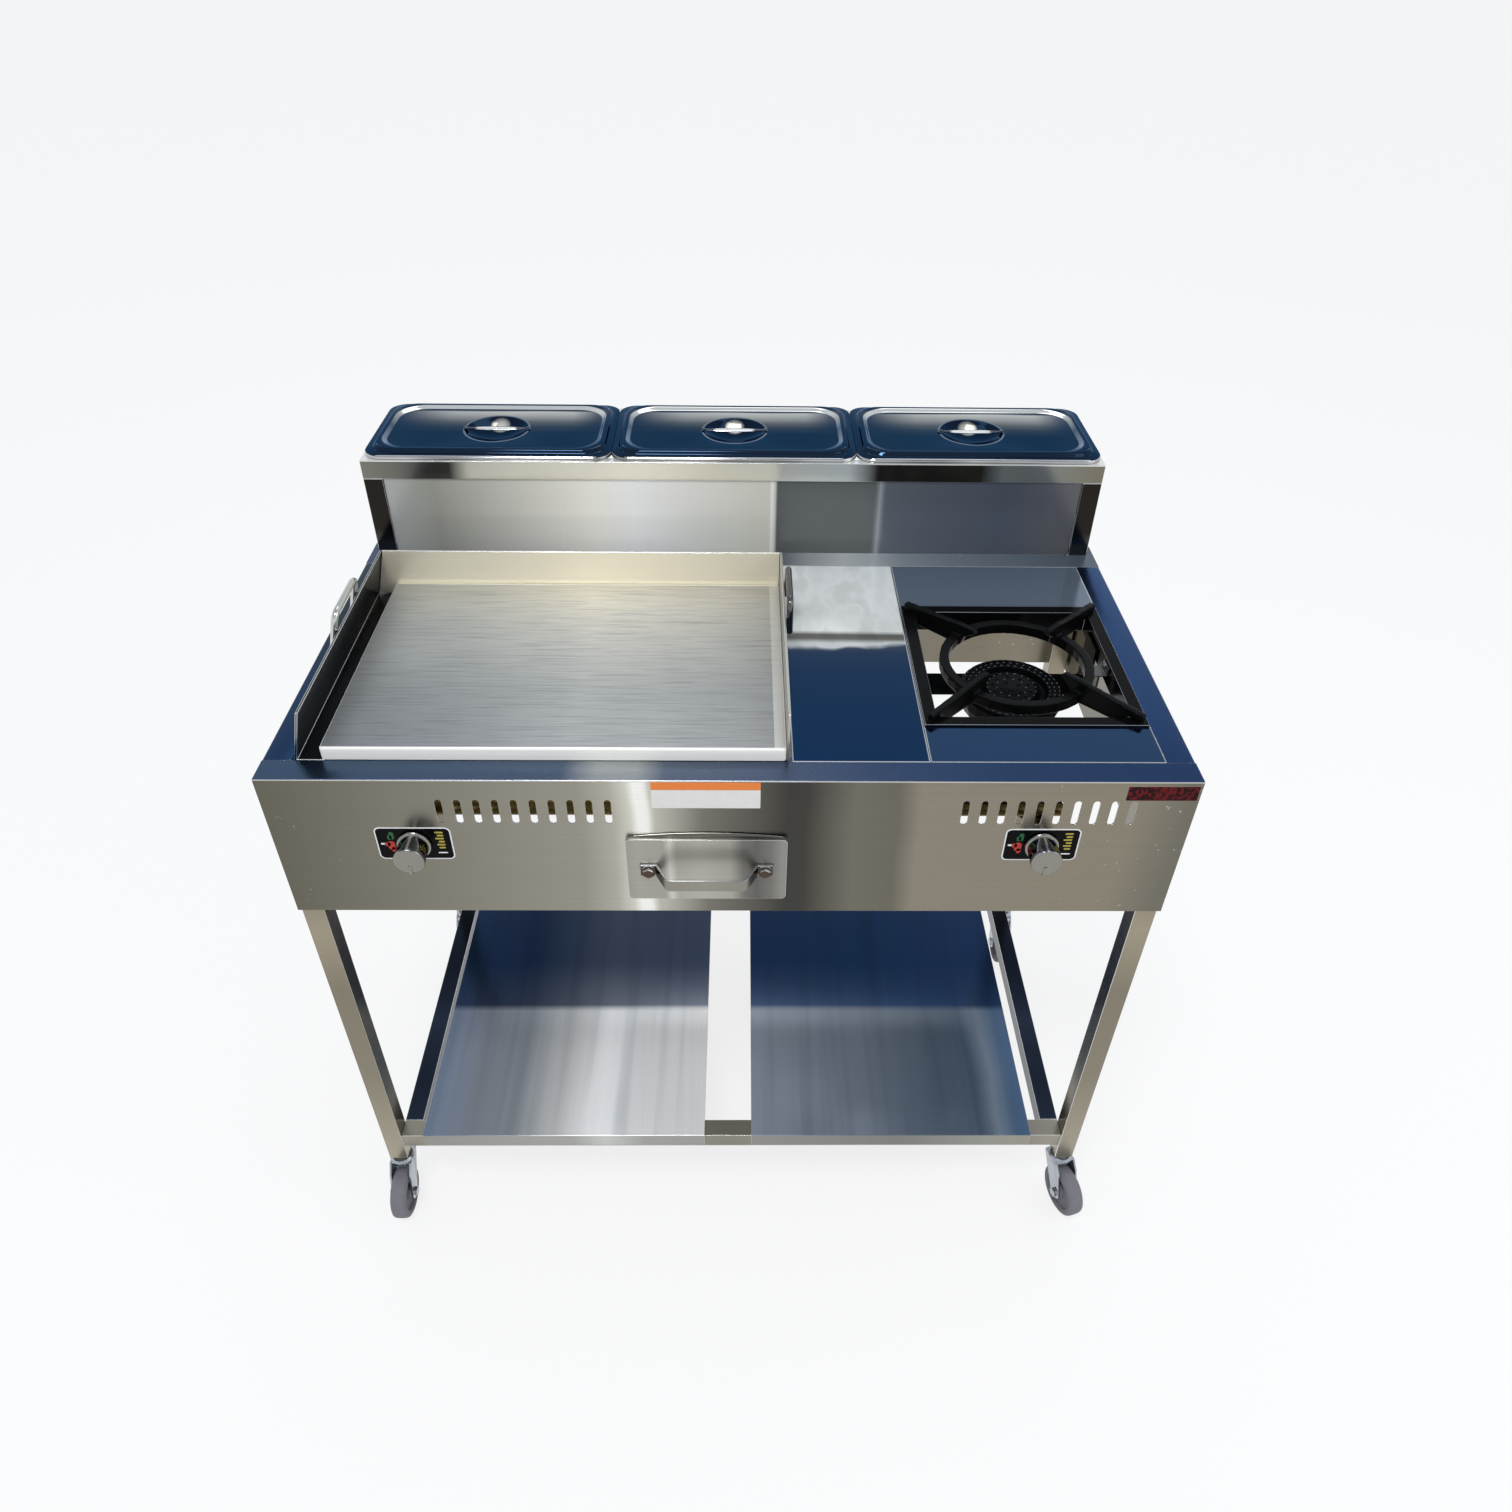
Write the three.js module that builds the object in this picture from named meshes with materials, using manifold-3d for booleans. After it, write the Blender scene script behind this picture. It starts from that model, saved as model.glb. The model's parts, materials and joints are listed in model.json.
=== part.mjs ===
// Catering cart: a wheeled stainless table with a flat griddle on the left, a work panel and a
// cast gas burner on the right, three lidded food pans on a raised rear shelf, a drip tray in the
// front apron and two sheet panels as a lower shelf.
// Millimetres, +Z up. X runs along the front, Y runs from the front to the back.
import * as THREE from 'three';
import { mergeVertices } from 'three/addons/utils/BufferGeometryUtils.js';
import Module from 'manifold-3d';

const wasm = await Module();
wasm.setup();

// Driving dimensions: stock and clearances
const sheet = 1.2;
const tubeSize = 25.4;
const tubeWall = 1.2;
const seat = 0.3;
const overrun = 3;
const weldDistance = 1e-4;
const foldRadius = 1.8;

// Driving dimensions: food pans and their shelf
const panCount = 3;
const panLength = 325;
const panWidth = 176;
const panDepth = 100;
const panEndPlay = 2.5;
const panSidePlay = 3;
const shelfInset = 10;
const shelfLift = 108;
const shelfRailWidth = 12.7;
const shelfRailHeight = 25.4;

// Driving dimensions: table
const tableHeight = 820;
const apronHeight = 197;
const frontRim = 32;
const rearRim = 59;
const sideRim = 31;
const deckDepth = 423;
const workBay = 149;
const burnerBay = 255;
const ledgeDrop = 1.5;
const ledgeWidth = 10;
const deckBar = 20;
const shelfLength = panCount * panLength + 2 * panEndPlay;
const shelfDepth = panWidth + 2 * panSidePlay;
const tableWidth = shelfLength + 2 * shelfInset;
const tableDepth = frontRim + deckDepth + rearRim;

// Driving dimensions: legs, lower shelf and casters
const legSideInset = 4;
const casterHeight = 100;
const lowerShelfHeight = 156;
const shelfLip = 23;
const centreGap = 66.5;
const leftPanelGap = 4.9;
const rightPanelGap = 18.4;
const wheelRadius = 37.5;
const wheelWidth = 23;
const casterTrail = 28;
const bossHeight = 6;
const tyreDepth = 10;
const rightFrontTurn = THREE.MathUtils.degToRad(18);

// Driving dimensions: griddle
const plateRise = 17;
const plateThickness = 6;
const plateLip = 3;
const wallRise = 62;
const wallThickness = 3;
const wallShift = 16;
const troughWidth = 26;
const flueDepth = 76;
const griddleFrontGap = 1;
const rightWallGap = 2.7;
const griddleHandleSpan = 84;
const griddleHandleRise = 20;
const griddleHandleRod = 8;
const leftHandleY = 234;
const rightHandleY = 266;

// Driving dimensions: controls, burners and gas line
const knobDrop = 90.5;
const leftKnobInset = 153.5;
const knobRadius = 17.2;
const knobLength = 28;
const valveRadius = 11;
const valveReach = 58;
const stemRadius = 3;
const pipeRadius = 9;
const pipeRise = 27;
const burnerSetback = 189;
const burnerFrameSize = 252;
const burnerHole = 228;
const burnerHeadDrop = 35;
const burnerHeadRadius = 62;
const ringRadius = 92;
const ringBar = 11;
const griddleTubeRadius = 12.7;
const griddleTubeDrop = 50;
const mixerRadius = 11.7;
const bellFlare = 4;
const bellReach = 26;
const frameClearance = 1;
const nutFlare = 3;

// Driving dimensions: vents and drip tray
const slotsPerGroup = 10;
const slotPitch = 20;
const slotWidth = 7.5;
const slotLength = 34;
const slotDrop = 44;
const leftSlotInset = 278;
const trayOffset = -27.3;
const trayFrontWidth = 177.5;
const trayFrontHeight = 91.5;
const trayFrontDrop = 79;
const trayFrontDepth = 6;
const traySideLap = 10;
const trayTopLap = 20;
const trayBottomLap = 12;
const trayLength = 420;
const strapHeight = 16;
const strapThickness = 3;
const strapReach = 24;
const strapDrop = 123;

// Lines that several pieces share
const halfWidth = tableWidth / 2;
const deckLeft = sideRim - halfWidth;
const deckRight = halfWidth - sideRim;
const deckFront = frontRim;
const deckRear = frontRim + deckDepth;
const burnerLeft = deckRight - burnerBay;
const bayRight = burnerLeft - workBay;
const apronBottom = tableHeight - apronHeight;
const legFront = sheet + seat;
const rearLegFront = tableDepth - legFront - tubeSize;
const legOuter = halfWidth - legSideInset;
const legInner = legOuter - tubeSize;
const shelfFront = rearLegFront;
const shelfBottom = tableHeight + shelfLift;
const shelfTop = shelfBottom + shelfRailHeight;
const panelUnder = tableHeight - sheet;
const burnerX = (burnerLeft + deckRight) / 2;
const burnerY = deckFront + burnerSetback;
const knobZ = tableHeight - knobDrop;
const leftKnobX = leftKnobInset - halfWidth;
const rightKnobX = burnerX;
const quarter = Math.PI / 2;

// Materials
const paint = (color, roughness, metalness) =>
  new THREE.MeshStandardMaterial({ color, roughness, metalness, flatShading: true });
const satinSteel = () => paint(0xb9b7b0, 0.34, 0.95);
const brightSteel = () => paint(0xd3d6da, 0.14, 1);
const blueSteel = () => paint(0xaeb9c9, 0.2, 1);
const plateSteel = () => paint(0xbfc1bf, 0.42, 0.9);
const chrome = () => paint(0xe2e4e6, 0.08, 1);
const castIron = () => paint(0x17181a, 0.55, 0.4);
const zinc = () => paint(0xb4bcc6, 0.3, 0.9);
const brass = () => paint(0xb99a55, 0.35, 0.9);
const greyRubber = () => paint(0x77747a, 0.75, 0);

// Joins shared corners, drops empty triangles and turns the faces outwards.
function closed(geometry) {
  const bare = geometry.clone();
  bare.deleteAttribute('normal');
  bare.deleteAttribute('uv');
  const welded = mergeVertices(bare, weldDistance);
  const place = welded.getAttribute('position');
  const corner = (i) => new THREE.Vector3().fromBufferAttribute(place, i);
  const faces = [];
  let volume = 0;
  for (let i = 0; i < welded.index.count; i += 3) {
    const [a, b, c] = [0, 1, 2].map((k) => welded.index.getX(i + k));
    if (a === b || b === c || c === a) continue;
    faces.push([a, b, c]);
    volume += corner(a).dot(corner(b).cross(corner(c)));
  }
  const order = volume < 0 ? faces.map(([a, b, c]) => [a, c, b]) : faces;
  welded.setIndex(order.flat());
  return welded;
}

function toSolid(geometry) {
  const body = closed(geometry);
  const vertProperties = new Float32Array(body.getAttribute('position').array);
  const triVerts = new Uint32Array(body.index.array);
  return new wasm.Manifold(new wasm.Mesh({ numProp: 3, vertProperties, triVerts }));
}

function fromSolid(solid) {
  const mesh = solid.getMesh();
  const geometry = new THREE.BufferGeometry();
  geometry.setAttribute('position', new THREE.BufferAttribute(mesh.vertProperties, 3));
  geometry.setIndex(new THREE.BufferAttribute(mesh.triVerts, 1));
  return geometry;
}

function join(...geometries) {
  return fromSolid(geometries.map(toSolid).reduce((whole, piece) => whole.add(piece)));
}

function cut(base, ...tools) {
  return fromSolid(tools.map(toSolid).reduce((whole, tool) => whole.subtract(tool), toSolid(base)));
}

// A box from its three spans.
function slab([x0, x1], [y0, y1], [z0, z1]) {
  const box = new THREE.BoxGeometry(x1 - x0, y1 - y0, z1 - z0);
  return box.translate((x0 + x1) / 2, (y0 + y1) / 2, (z0 + z1) / 2);
}

const xAxis = new THREE.Vector3(1, 0, 0);
const yAxis = new THREE.Vector3(0, 1, 0);
const zAxis = new THREE.Vector3(0, 0, 1);

function extruded(shape, length) {
  return new THREE.ExtrudeGeometry(shape, { depth: length, bevelEnabled: false });
}

const outline = (points) => new THREE.Shape(points.map(([u, v]) => new THREE.Vector2(u, v)));

// Extrusions of an outline given in (y, z), (x, z) or (x, y).
function alongX(shape, x0, x1) {
  const turn = new THREE.Matrix4().makeBasis(yAxis, zAxis, xAxis);
  return extruded(shape, x1 - x0).applyMatrix4(turn).translate(x0, 0, 0);
}

function alongY(shape, y0, y1) {
  const turn = new THREE.Matrix4().makeBasis(xAxis, zAxis, yAxis.clone().negate());
  return extruded(shape, y1 - y0).applyMatrix4(turn).translate(0, y1, 0);
}

function alongZ(shape, z0, z1) {
  return extruded(shape, z1 - z0).translate(0, 0, z0);
}

// Rounds the corners of an open line; a point is [u, v] or [u, v, radius].
function rounded(points, steps = 3) {
  const result = [];
  points.forEach(([u, v, radius = 0], i) => {
    const here = new THREE.Vector2(u, v);
    if (!radius) {
      result.push(here);
      return;
    }
    const before = new THREE.Vector2(...points[i - 1]).sub(here).normalize();
    const after = new THREE.Vector2(...points[i + 1]).sub(here).normalize();
    const half = Math.acos(before.dot(after)) / 2;
    const middle = before.clone().add(after).normalize();
    const centre = here.clone().addScaledVector(middle, radius / Math.sin(half));
    const from = here.clone().addScaledVector(before, radius / Math.tan(half)).sub(centre);
    const turn = Math.sign(before.cross(after)) * (Math.PI - 2 * half);
    for (let k = 0; k <= steps; k += 1) {
      result.push(from.clone().rotateAround(new THREE.Vector2(), (-turn * k) / steps).add(centre));
    }
  });
  return result;
}

// A sheet seen edge on: the line given, and the same line offset to its right by the thickness.
function ribbon(points, thickness, steps) {
  const line = rounded(points, steps);
  const normals = line.slice(1).map((p, i) => {
    const along = p.clone().sub(line[i]).normalize();
    return new THREE.Vector2(along.y, -along.x);
  });
  const offset = line.map((p, i) => {
    const a = normals[Math.max(i - 1, 0)];
    const b = normals[Math.min(i, normals.length - 1)];
    const mitre = a.clone().add(b).normalize();
    return p.clone().addScaledVector(mitre, thickness / mitre.dot(a));
  });
  return new THREE.Shape([...line, ...offset.reverse()]);
}

// The corners of a rectangle with round corners, counter-clockwise.
function roundRectangle(halfX, halfY, radius, steps) {
  const points = [];
  [[1, 1], [-1, 1], [-1, -1], [1, -1]].forEach(([sx, sy], i) => {
    for (let k = 0; k <= steps; k += 1) {
      const angle = quarter * (i + k / steps);
      const x = sx * (halfX - radius) + radius * Math.cos(angle);
      const y = sy * (halfY - radius) + radius * Math.sin(angle);
      points.push(new THREE.Vector2(x, y));
    }
  });
  return points;
}

// Skins a stack of rings with equal point counts, closed by a fan at each end.
function loft(rings) {
  const count = rings[0].length;
  const centre = (ring) => ring.reduce((sum, p) => sum.add(p), new THREE.Vector3()).divideScalar(count);
  const points = [...rings.flat(), centre(rings[0]), centre(rings.at(-1))];
  const index = [];
  for (let r = 0; r < rings.length - 1; r += 1) {
    for (let k = 0; k < count; k += 1) {
      const a = r * count + k;
      const b = r * count + ((k + 1) % count);
      index.push(a, b, b + count, a, b + count, a + count);
    }
  }
  const lastRing = (rings.length - 1) * count;
  for (let k = 0; k < count; k += 1) {
    const next = (k + 1) % count;
    index.push(rings.length * count, next, k);
    index.push(rings.length * count + 1, lastRing + k, lastRing + next);
  }
  const geometry = new THREE.BufferGeometry().setFromPoints(points);
  geometry.setIndex(index);
  return geometry;
}

// A solid of revolution about Z from a profile of [radius, height] that ends on the axis.
function turned(profile, segments) {
  const points = profile.map(([radius, height]) => new THREE.Vector2(radius, height));
  return new THREE.LatheGeometry(points, segments).rotateX(quarter);
}

function cylinder(radius, z0, z1, segments) {
  return turned([[0, z0], [radius, z0], [radius, z1], [0, z1]], segments);
}

// A path through corner points whose bends are arcs.
class BentPath extends THREE.Curve {
  constructor(corners, bend, steps = 4) {
    super();
    this.points = corners.flatMap((corner, i) => {
      if (i === 0 || i === corners.length - 1) return [corner];
      const room = Math.min(corners[i - 1].distanceTo(corner), corners[i + 1].distanceTo(corner));
      const leg = Math.min(bend, room * 0.45);
      const before = corners[i - 1].clone().sub(corner).setLength(leg).add(corner);
      const after = corners[i + 1].clone().sub(corner).setLength(leg).add(corner);
      return new THREE.QuadraticBezierCurve3(before, corner, after).getPoints(steps);
    });
  }

  getPoint(t, target = new THREE.Vector3()) {
    const place = t * (this.points.length - 1);
    const i = Math.min(Math.floor(place), this.points.length - 2);
    return target.lerpVectors(this.points[i], this.points[i + 1], place - i);
  }

  // Steps fall on the path's own points, not at equal lengths.
  getUtoTmapping(u) {
    return u;
  }
}

function rod(path, radius, sides, steps = path.points.length - 1) {
  const section = Array.from({ length: sides }, (_, k) => {
    const angle = (2 * Math.PI * k) / sides;
    return new THREE.Vector2(radius * Math.cos(angle), radius * Math.sin(angle));
  });
  const settings = { steps, extrudePath: path, bevelEnabled: false };
  return new THREE.ExtrudeGeometry(new THREE.Shape(section), settings);
}

// A square or rectangular tube's section about its centre.
function tubeSection(u, v, width, height, wall) {
  const frame = (inset) => [
    [u - width / 2 + inset, v - height / 2 + inset],
    [u + width / 2 - inset, v - height / 2 + inset],
    [u + width / 2 - inset, v + height / 2 - inset],
    [u - width / 2 + inset, v + height / 2 - inset],
  ];
  const shape = outline(frame(0));
  shape.holes.push(new THREE.Path(frame(wall).map(([a, b]) => new THREE.Vector2(a, b))));
  return shape;
}

const cart = new THREE.Group();

function add(name, geometry, material, parent = cart) {
  const mesh = new THREE.Mesh(closed(geometry), material);
  mesh.name = name;
  parent.add(mesh);
  return mesh;
}

// Undercarriage

// A leg: a hollow square tube closed below by a foot plate with the caster's stem boss.
function leg(x, y) {
  const bossRadius = 10;
  const footPlate = 3;
  const top = panelUnder - seat;
  const half = tubeSize / 2;
  const tube = alongZ(tubeSection(x, y, tubeSize, tubeSize, tubeWall), casterHeight, top);
  const foot = slab([x - half, x + half], [y - half, y + half], [casterHeight, casterHeight + footPlate]);
  const boss = cylinder(bossRadius, casterHeight - bossHeight, casterHeight + footPlate / 2, 14);
  return join(tube, foot, boss.translate(x, y, 0));
}

const legX = legOuter - tubeSize / 2;
const frontLegY = legFront + tubeSize / 2;
const rearLegY = rearLegFront + tubeSize / 2;
const corners = [
  ['front_left', -legX, frontLegY, 0],
  ['front_right', legX, frontLegY, rightFrontTurn],
  ['rear_left', -legX, rearLegY, 0],
  ['rear_right', legX, rearLegY, 0],
];
corners.forEach(([place, x, y]) => add(`leg_${place}`, leg(x, y), satinSteel()));

// Lower rails: the long ones between the legs, the short ones just inside them.
function lowerRails() {
  const top = lowerShelfHeight - sheet - seat;
  const z = top - tubeSize / 2;
  const lipRoom = sheet + seat;
  const frontY = legFront + lipRoom + tubeSize / 2;
  const rearY = tableDepth - frontY;
  const end = legInner - seat;
  const longRail = (y) => alongX(tubeSection(y, z, tubeSize, tubeSize, tubeWall), -end, end);
  add('lower_rail_front', longRail(frontY), satinSteel());
  add('lower_rail_rear', longRail(rearY), satinSteel());
  const from = frontY + tubeSize / 2 + seat;
  const to = rearY - tubeSize / 2 - seat;
  const x = end - tubeSize / 2;
  const shortRail = (side) => alongY(tubeSection(side * x, z, tubeSize, tubeSize, tubeWall), from, to);
  add('lower_rail_left', shortRail(-1), brightSteel());
  add('lower_rail_right', shortRail(1), brightSteel());
}
lowerRails();

// Lower shelf: two folded panels with a turned-down lip over the front and rear rails.
function lowerShelf() {
  const inner = legInner - seat - tubeSize;
  const width = (2 * inner - leftPanelGap - rightPanelGap - centreGap) / 2;
  const lipFoot = lowerShelfHeight - shelfLip;
  const rear = tableDepth - legFront;
  const section = ribbon([
    [legFront, lipFoot],
    [legFront, lowerShelfHeight, foldRadius],
    [rear, lowerShelfHeight, foldRadius],
    [rear, lipFoot],
  ], sheet);
  const left = leftPanelGap - inner;
  const right = inner - rightPanelGap;
  add('lower_shelf_left', alongX(section, left, left + width), blueSteel());
  add('lower_shelf_right', alongX(section, right - width, right), blueSteel());
}
lowerShelf();

// Casters: a pressed fork that swivels under the leg and a wheel that turns on its axle bolt.
const crownTop = casterHeight - bossHeight - seat;
const axleRadius = 4;
const cheekThickness = 2.5;
const cheekGap = 1.5;

function casterFork() {
  const crownRadius = 18;
  const crownHeight = 9;
  const crownChamfer = 3;
  const cheekEnd = 11;
  const cheekFront = 15;
  const waist = 26;
  const boltRadius = 7;
  const boltHead = 4;
  const inner = wheelWidth / 2 + cheekGap;
  const outer = inner + cheekThickness;
  const bottom = crownTop - crownHeight;
  const crown = turned([
    [0, bottom],
    [crownRadius, bottom],
    [crownRadius, crownTop - crownChamfer],
    [crownRadius - crownChamfer, crownTop],
    [0, crownTop],
  ], 14);
  const arcSteps = 5;
  const arc = Array.from({ length: arcSteps + 1 }, (_, k) => {
    const angle = quarter * 1.6 + (Math.PI * k) / arcSteps;
    return [cheekEnd * Math.cos(angle) - casterTrail, cheekEnd * Math.sin(angle) + wheelRadius];
  });
  const side = outline([
    [cheekFront, bottom],
    [cheekFront, bottom + crownHeight / 2],
    [-cheekFront, bottom + crownHeight / 2],
    [-waist, bottom - crownHeight],
    ...arc,
  ]);
  const bridge = slab([-outer, outer], [-cheekFront, cheekFront], [bottom, bottom + crownHeight / 2]);
  const axle = cylinder(axleRadius, -outer, outer, 12);
  const heads = [-1, 1].map((s) => {
    const head = cylinder(boltRadius, outer - cheekThickness / 2, outer + boltHead, 6);
    return head.rotateY(s * quarter).translate(0, -casterTrail, wheelRadius);
  });
  return join(
    crown,
    bridge,
    alongX(side, -outer, -inner),
    alongX(side, inner, outer),
    axle.rotateY(quarter).translate(0, -casterTrail, wheelRadius),
    ...heads,
  );
}

function casterWheel() {
  const half = wheelWidth / 2;
  const shoulder = 5;
  const bore = axleRadius + seat;
  const hubRadius = 11;
  const hubHalf = half + cheekGap - seat;
  const webHalf = half * 0.45;
  const rimRadius = wheelRadius - tyreDepth;
  const profile = [
    [bore, -hubHalf],
    [hubRadius, -hubHalf],
    [hubRadius, -webHalf],
    [rimRadius, -webHalf],
    [rimRadius, -half],
    [wheelRadius - shoulder, -half],
    [wheelRadius, -half + shoulder / 2],
    [wheelRadius, half - shoulder / 2],
    [wheelRadius - shoulder, half],
    [rimRadius, half],
    [rimRadius, webHalf],
    [hubRadius, webHalf],
    [hubRadius, hubHalf],
    [bore, hubHalf],
    [bore, -hubHalf],
  ];
  return turned(profile, 20).rotateY(quarter).translate(0, -casterTrail, wheelRadius);
}

corners.forEach(([place, x, y, turn]) => {
  const caster = new THREE.Group();
  caster.position.set(x, y, 0);
  caster.rotation.z = turn;
  add(`caster_fork_${place}`, casterFork(), zinc(), caster);
  add(`caster_wheel_${place}`, casterWheel(), greyRubber(), caster);
  cart.add(caster);
});

// Table housing

// Where a drip tray passes the front apron.
const trayOpening = {
  x0: trayOffset - trayFrontWidth / 2 + traySideLap,
  x1: trayOffset + trayFrontWidth / 2 - traySideLap,
  z0: tableHeight - trayFrontDrop - trayFrontHeight + trayBottomLap,
  z1: tableHeight - trayFrontDrop - trayTopLap,
};

function ventSlots(centreX) {
  const z = tableHeight - slotDrop;
  return Array.from({ length: slotsPerGroup }, (_, k) => {
    const x = centreX + (k - (slotsPerGroup - 1) / 2) * slotPitch;
    const ends = roundRectangle(slotWidth / 2, slotLength / 2, slotWidth / 2, 2);
    return alongY(new THREE.Shape(ends), -overrun, overrun).translate(x, 0, z);
  });
}

// The apron, rim and joggled ledge of one long side, folded from one sheet.
function longApron(face, inward, rim) {
  const edge = face + inward * rim;
  const line = [
    [face, apronBottom],
    [face, tableHeight, foldRadius],
    [edge, tableHeight],
    [edge, tableHeight - ledgeDrop],
    [edge + inward * ledgeWidth, tableHeight - ledgeDrop],
  ];
  const section = (points) => ribbon(inward > 0 ? points : points.reverse(), sheet);
  const ledgeEnd = deckRight - ledgeWidth - seat;
  return join(
    alongX(section(line.slice(0, 3)), -halfWidth, halfWidth),
    alongX(section(line), -ledgeEnd, ledgeEnd),
  );
}

function frontApron() {
  const stemHole = 8;
  const stemHoles = [leftKnobX, rightKnobX].map((x) =>
    cylinder(stemHole, -overrun, overrun, 14).rotateX(quarter).translate(x, 0, knobZ));
  const { x0, x1, z0, z1 } = trayOpening;
  return cut(
    longApron(0, 1, frontRim),
    ...ventSlots(leftSlotInset - halfWidth),
    ...ventSlots(burnerX),
    ...stemHoles,
    slab([x0, x1], [-overrun, overrun], [z0, z1]),
  );
}

// An end apron: its rim fills the length between the two long rims.
function endApron(side) {
  const edge = side * deckRight;
  const face = side * halfWidth;
  const line = [
    [face, apronBottom],
    [face, tableHeight, foldRadius],
    [edge, tableHeight],
    [edge, tableHeight - ledgeDrop],
    [edge - side * ledgeWidth, tableHeight - ledgeDrop],
  ];
  const section = ribbon(side < 0 ? line : line.reverse(), sheet);
  const rim = alongY(section, deckFront + seat, deckRear - seat);
  const skin = [face - side * sheet, face].sort((a, b) => a - b);
  const height = [apronBottom, panelUnder - seat];
  return join(
    rim,
    slab(skin, [legFront, deckFront + overrun], height),
    slab(skin, [deckRear - overrun, tableDepth - legFront], height),
  );
}

add('front_apron', frontApron(), satinSteel());
add('rear_apron', longApron(tableDepth, -1, rearRim), satinSteel());
add('left_apron', endApron(-1), satinSteel());
add('right_apron', endApron(1), satinSteel());

// Flush deck panels on the ledges, with a bar under each long seam.
function decks() {
  const top = [panelUnder, tableHeight];
  const depth = [deckFront + seat, deckRear - seat];
  add('work_panel', slab([bayRight + seat, burnerLeft - seat], depth, top), blueSteel());
  const half = burnerHole / 2;
  const deck = slab([burnerLeft + seat, deckRight - seat], depth, top);
  const hole = slab(
    [burnerX - half, burnerX + half],
    [burnerY - half, burnerY + half],
    [panelUnder - overrun, tableHeight + overrun],
  );
  add('burner_deck', cut(deck, hole), blueSteel());
  const flueGap = 6;
  const flueFront = deckRear - flueDepth + flueGap;
  const hem = 14;
  const cover = ribbon([
    [flueFront, tableHeight - hem],
    [flueFront, tableHeight, foldRadius],
    [deckRear - seat, tableHeight],
  ], sheet);
  const coverEnds = [deckLeft + ledgeWidth + seat, bayRight - deckBar];
  add('flue_cover', join(
    alongX(cover, ...coverEnds),
    slab([deckLeft + seat, bayRight - seat], [flueFront + foldRadius, deckRear - seat], top),
  ), blueSteel());
  const barTop = panelUnder - ledgeDrop - seat;
  const barZ = barTop - deckBar / 2;
  const bar = (x) => alongY(
    tubeSection(x, barZ, deckBar, deckBar, tubeWall),
    sheet + seat,
    tableDepth - sheet - seat,
  );
  add('deck_bar_left', bar(bayRight), satinSteel());
  add('deck_bar_right', bar(burnerLeft), satinSteel());
}
decks();

// Griddle: a thick plate with turned-down lips, walls on three sides and two lifting handles.
const ledgeTop = tableHeight - ledgeDrop;
const griddleFoot = ledgeTop + seat;
const plateTop = tableHeight + plateRise;
const wallTop = tableHeight + wallRise;
const leftWallFoot = deckLeft + wallThickness;
const troughFloor = 1.5;
const plateLeft = leftWallFoot + troughWidth + wallThickness;
const rightWallFace = bayRight - wallThickness - rightWallGap;
const plateRight = rightWallFace - seat;
const griddleFront = deckFront + griddleFrontGap;
const backWallFace = deckRear - flueDepth - wallThickness;

function griddle() {
  const under = plateTop - plateThickness;
  const lipFoot = griddleFoot + troughFloor + seat;
  const plate = slab([plateLeft, plateRight], [griddleFront, backWallFace - seat], [lipFoot, plateTop]);
  const pocket = slab(
    [plateLeft + plateLip, plateRight - plateLip],
    [griddleFront + plateLip, backWallFace - seat - plateLip],
    [lipFoot - overrun, under],
  );
  add('griddle_plate', cut(plate, pocket), plateSteel());

  const rear = backWallFace + wallThickness;
  const leanShare = wallShift / (wallTop - griddleFoot);
  const leftFace = (z) => leftWallFoot + leanShare * (z - griddleFoot);
  const leftSection = outline([
    [leftFace(griddleFoot), griddleFoot],
    [plateLeft + plateLip, griddleFoot],
    [plateLeft + plateLip, griddleFoot + troughFloor],
    [leftFace(griddleFoot + troughFloor) + wallThickness, griddleFoot + troughFloor],
    [leftFace(wallTop) + wallThickness, wallTop],
    [leftFace(wallTop), wallTop],
  ]);
  add('griddle_left_wall', alongY(leftSection, griddleFront, rear), plateSteel());

  const backFoot = griddleFoot + troughFloor + seat;
  const clearOfLeft = wallThickness + seat;
  const backSection = outline([
    [leftFace(backFoot) + clearOfLeft, backFoot],
    [rightWallFace - seat, backFoot],
    [rightWallFace - seat, wallTop],
    [leftFace(wallTop) + clearOfLeft, wallTop],
  ]);
  add('griddle_back_wall', alongY(backSection, backWallFace, rear), plateSteel());

  const rightWall = slab([rightWallFace, rightWallFace + wallThickness], [griddleFront, rear], [griddleFoot, wallTop]);
  add('griddle_right_wall', rightWall, plateSteel());

  const grip = griddleHandleRod / 2;
  const footDrop = 22;
  const liftHandle = (centreY, lineAt) => {
    const [low, high] = [wallTop - footDrop, wallTop + griddleHandleRise];
    const ends = [-1, 1].map((s) => centreY + (s * griddleHandleSpan) / 2);
    const place = (y, z) => new THREE.Vector3(lineAt(z), y, z);
    const [a, b] = ends;
    const path = new BentPath([place(a, low), place(a, high), place(b, high), place(b, low)], 2 * griddleHandleRod);
    return rod(path, grip, 8);
  };
  const clearance = grip * 1.05 + seat;
  add('griddle_handle_left', liftHandle(leftHandleY, (z) => leftFace(z) - clearance), chrome());
  add('griddle_handle_right', liftHandle(rightHandleY, () => rightWallFace + wallThickness + clearance), chrome());
}
griddle();

// Gas line, valves and knobs

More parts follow.
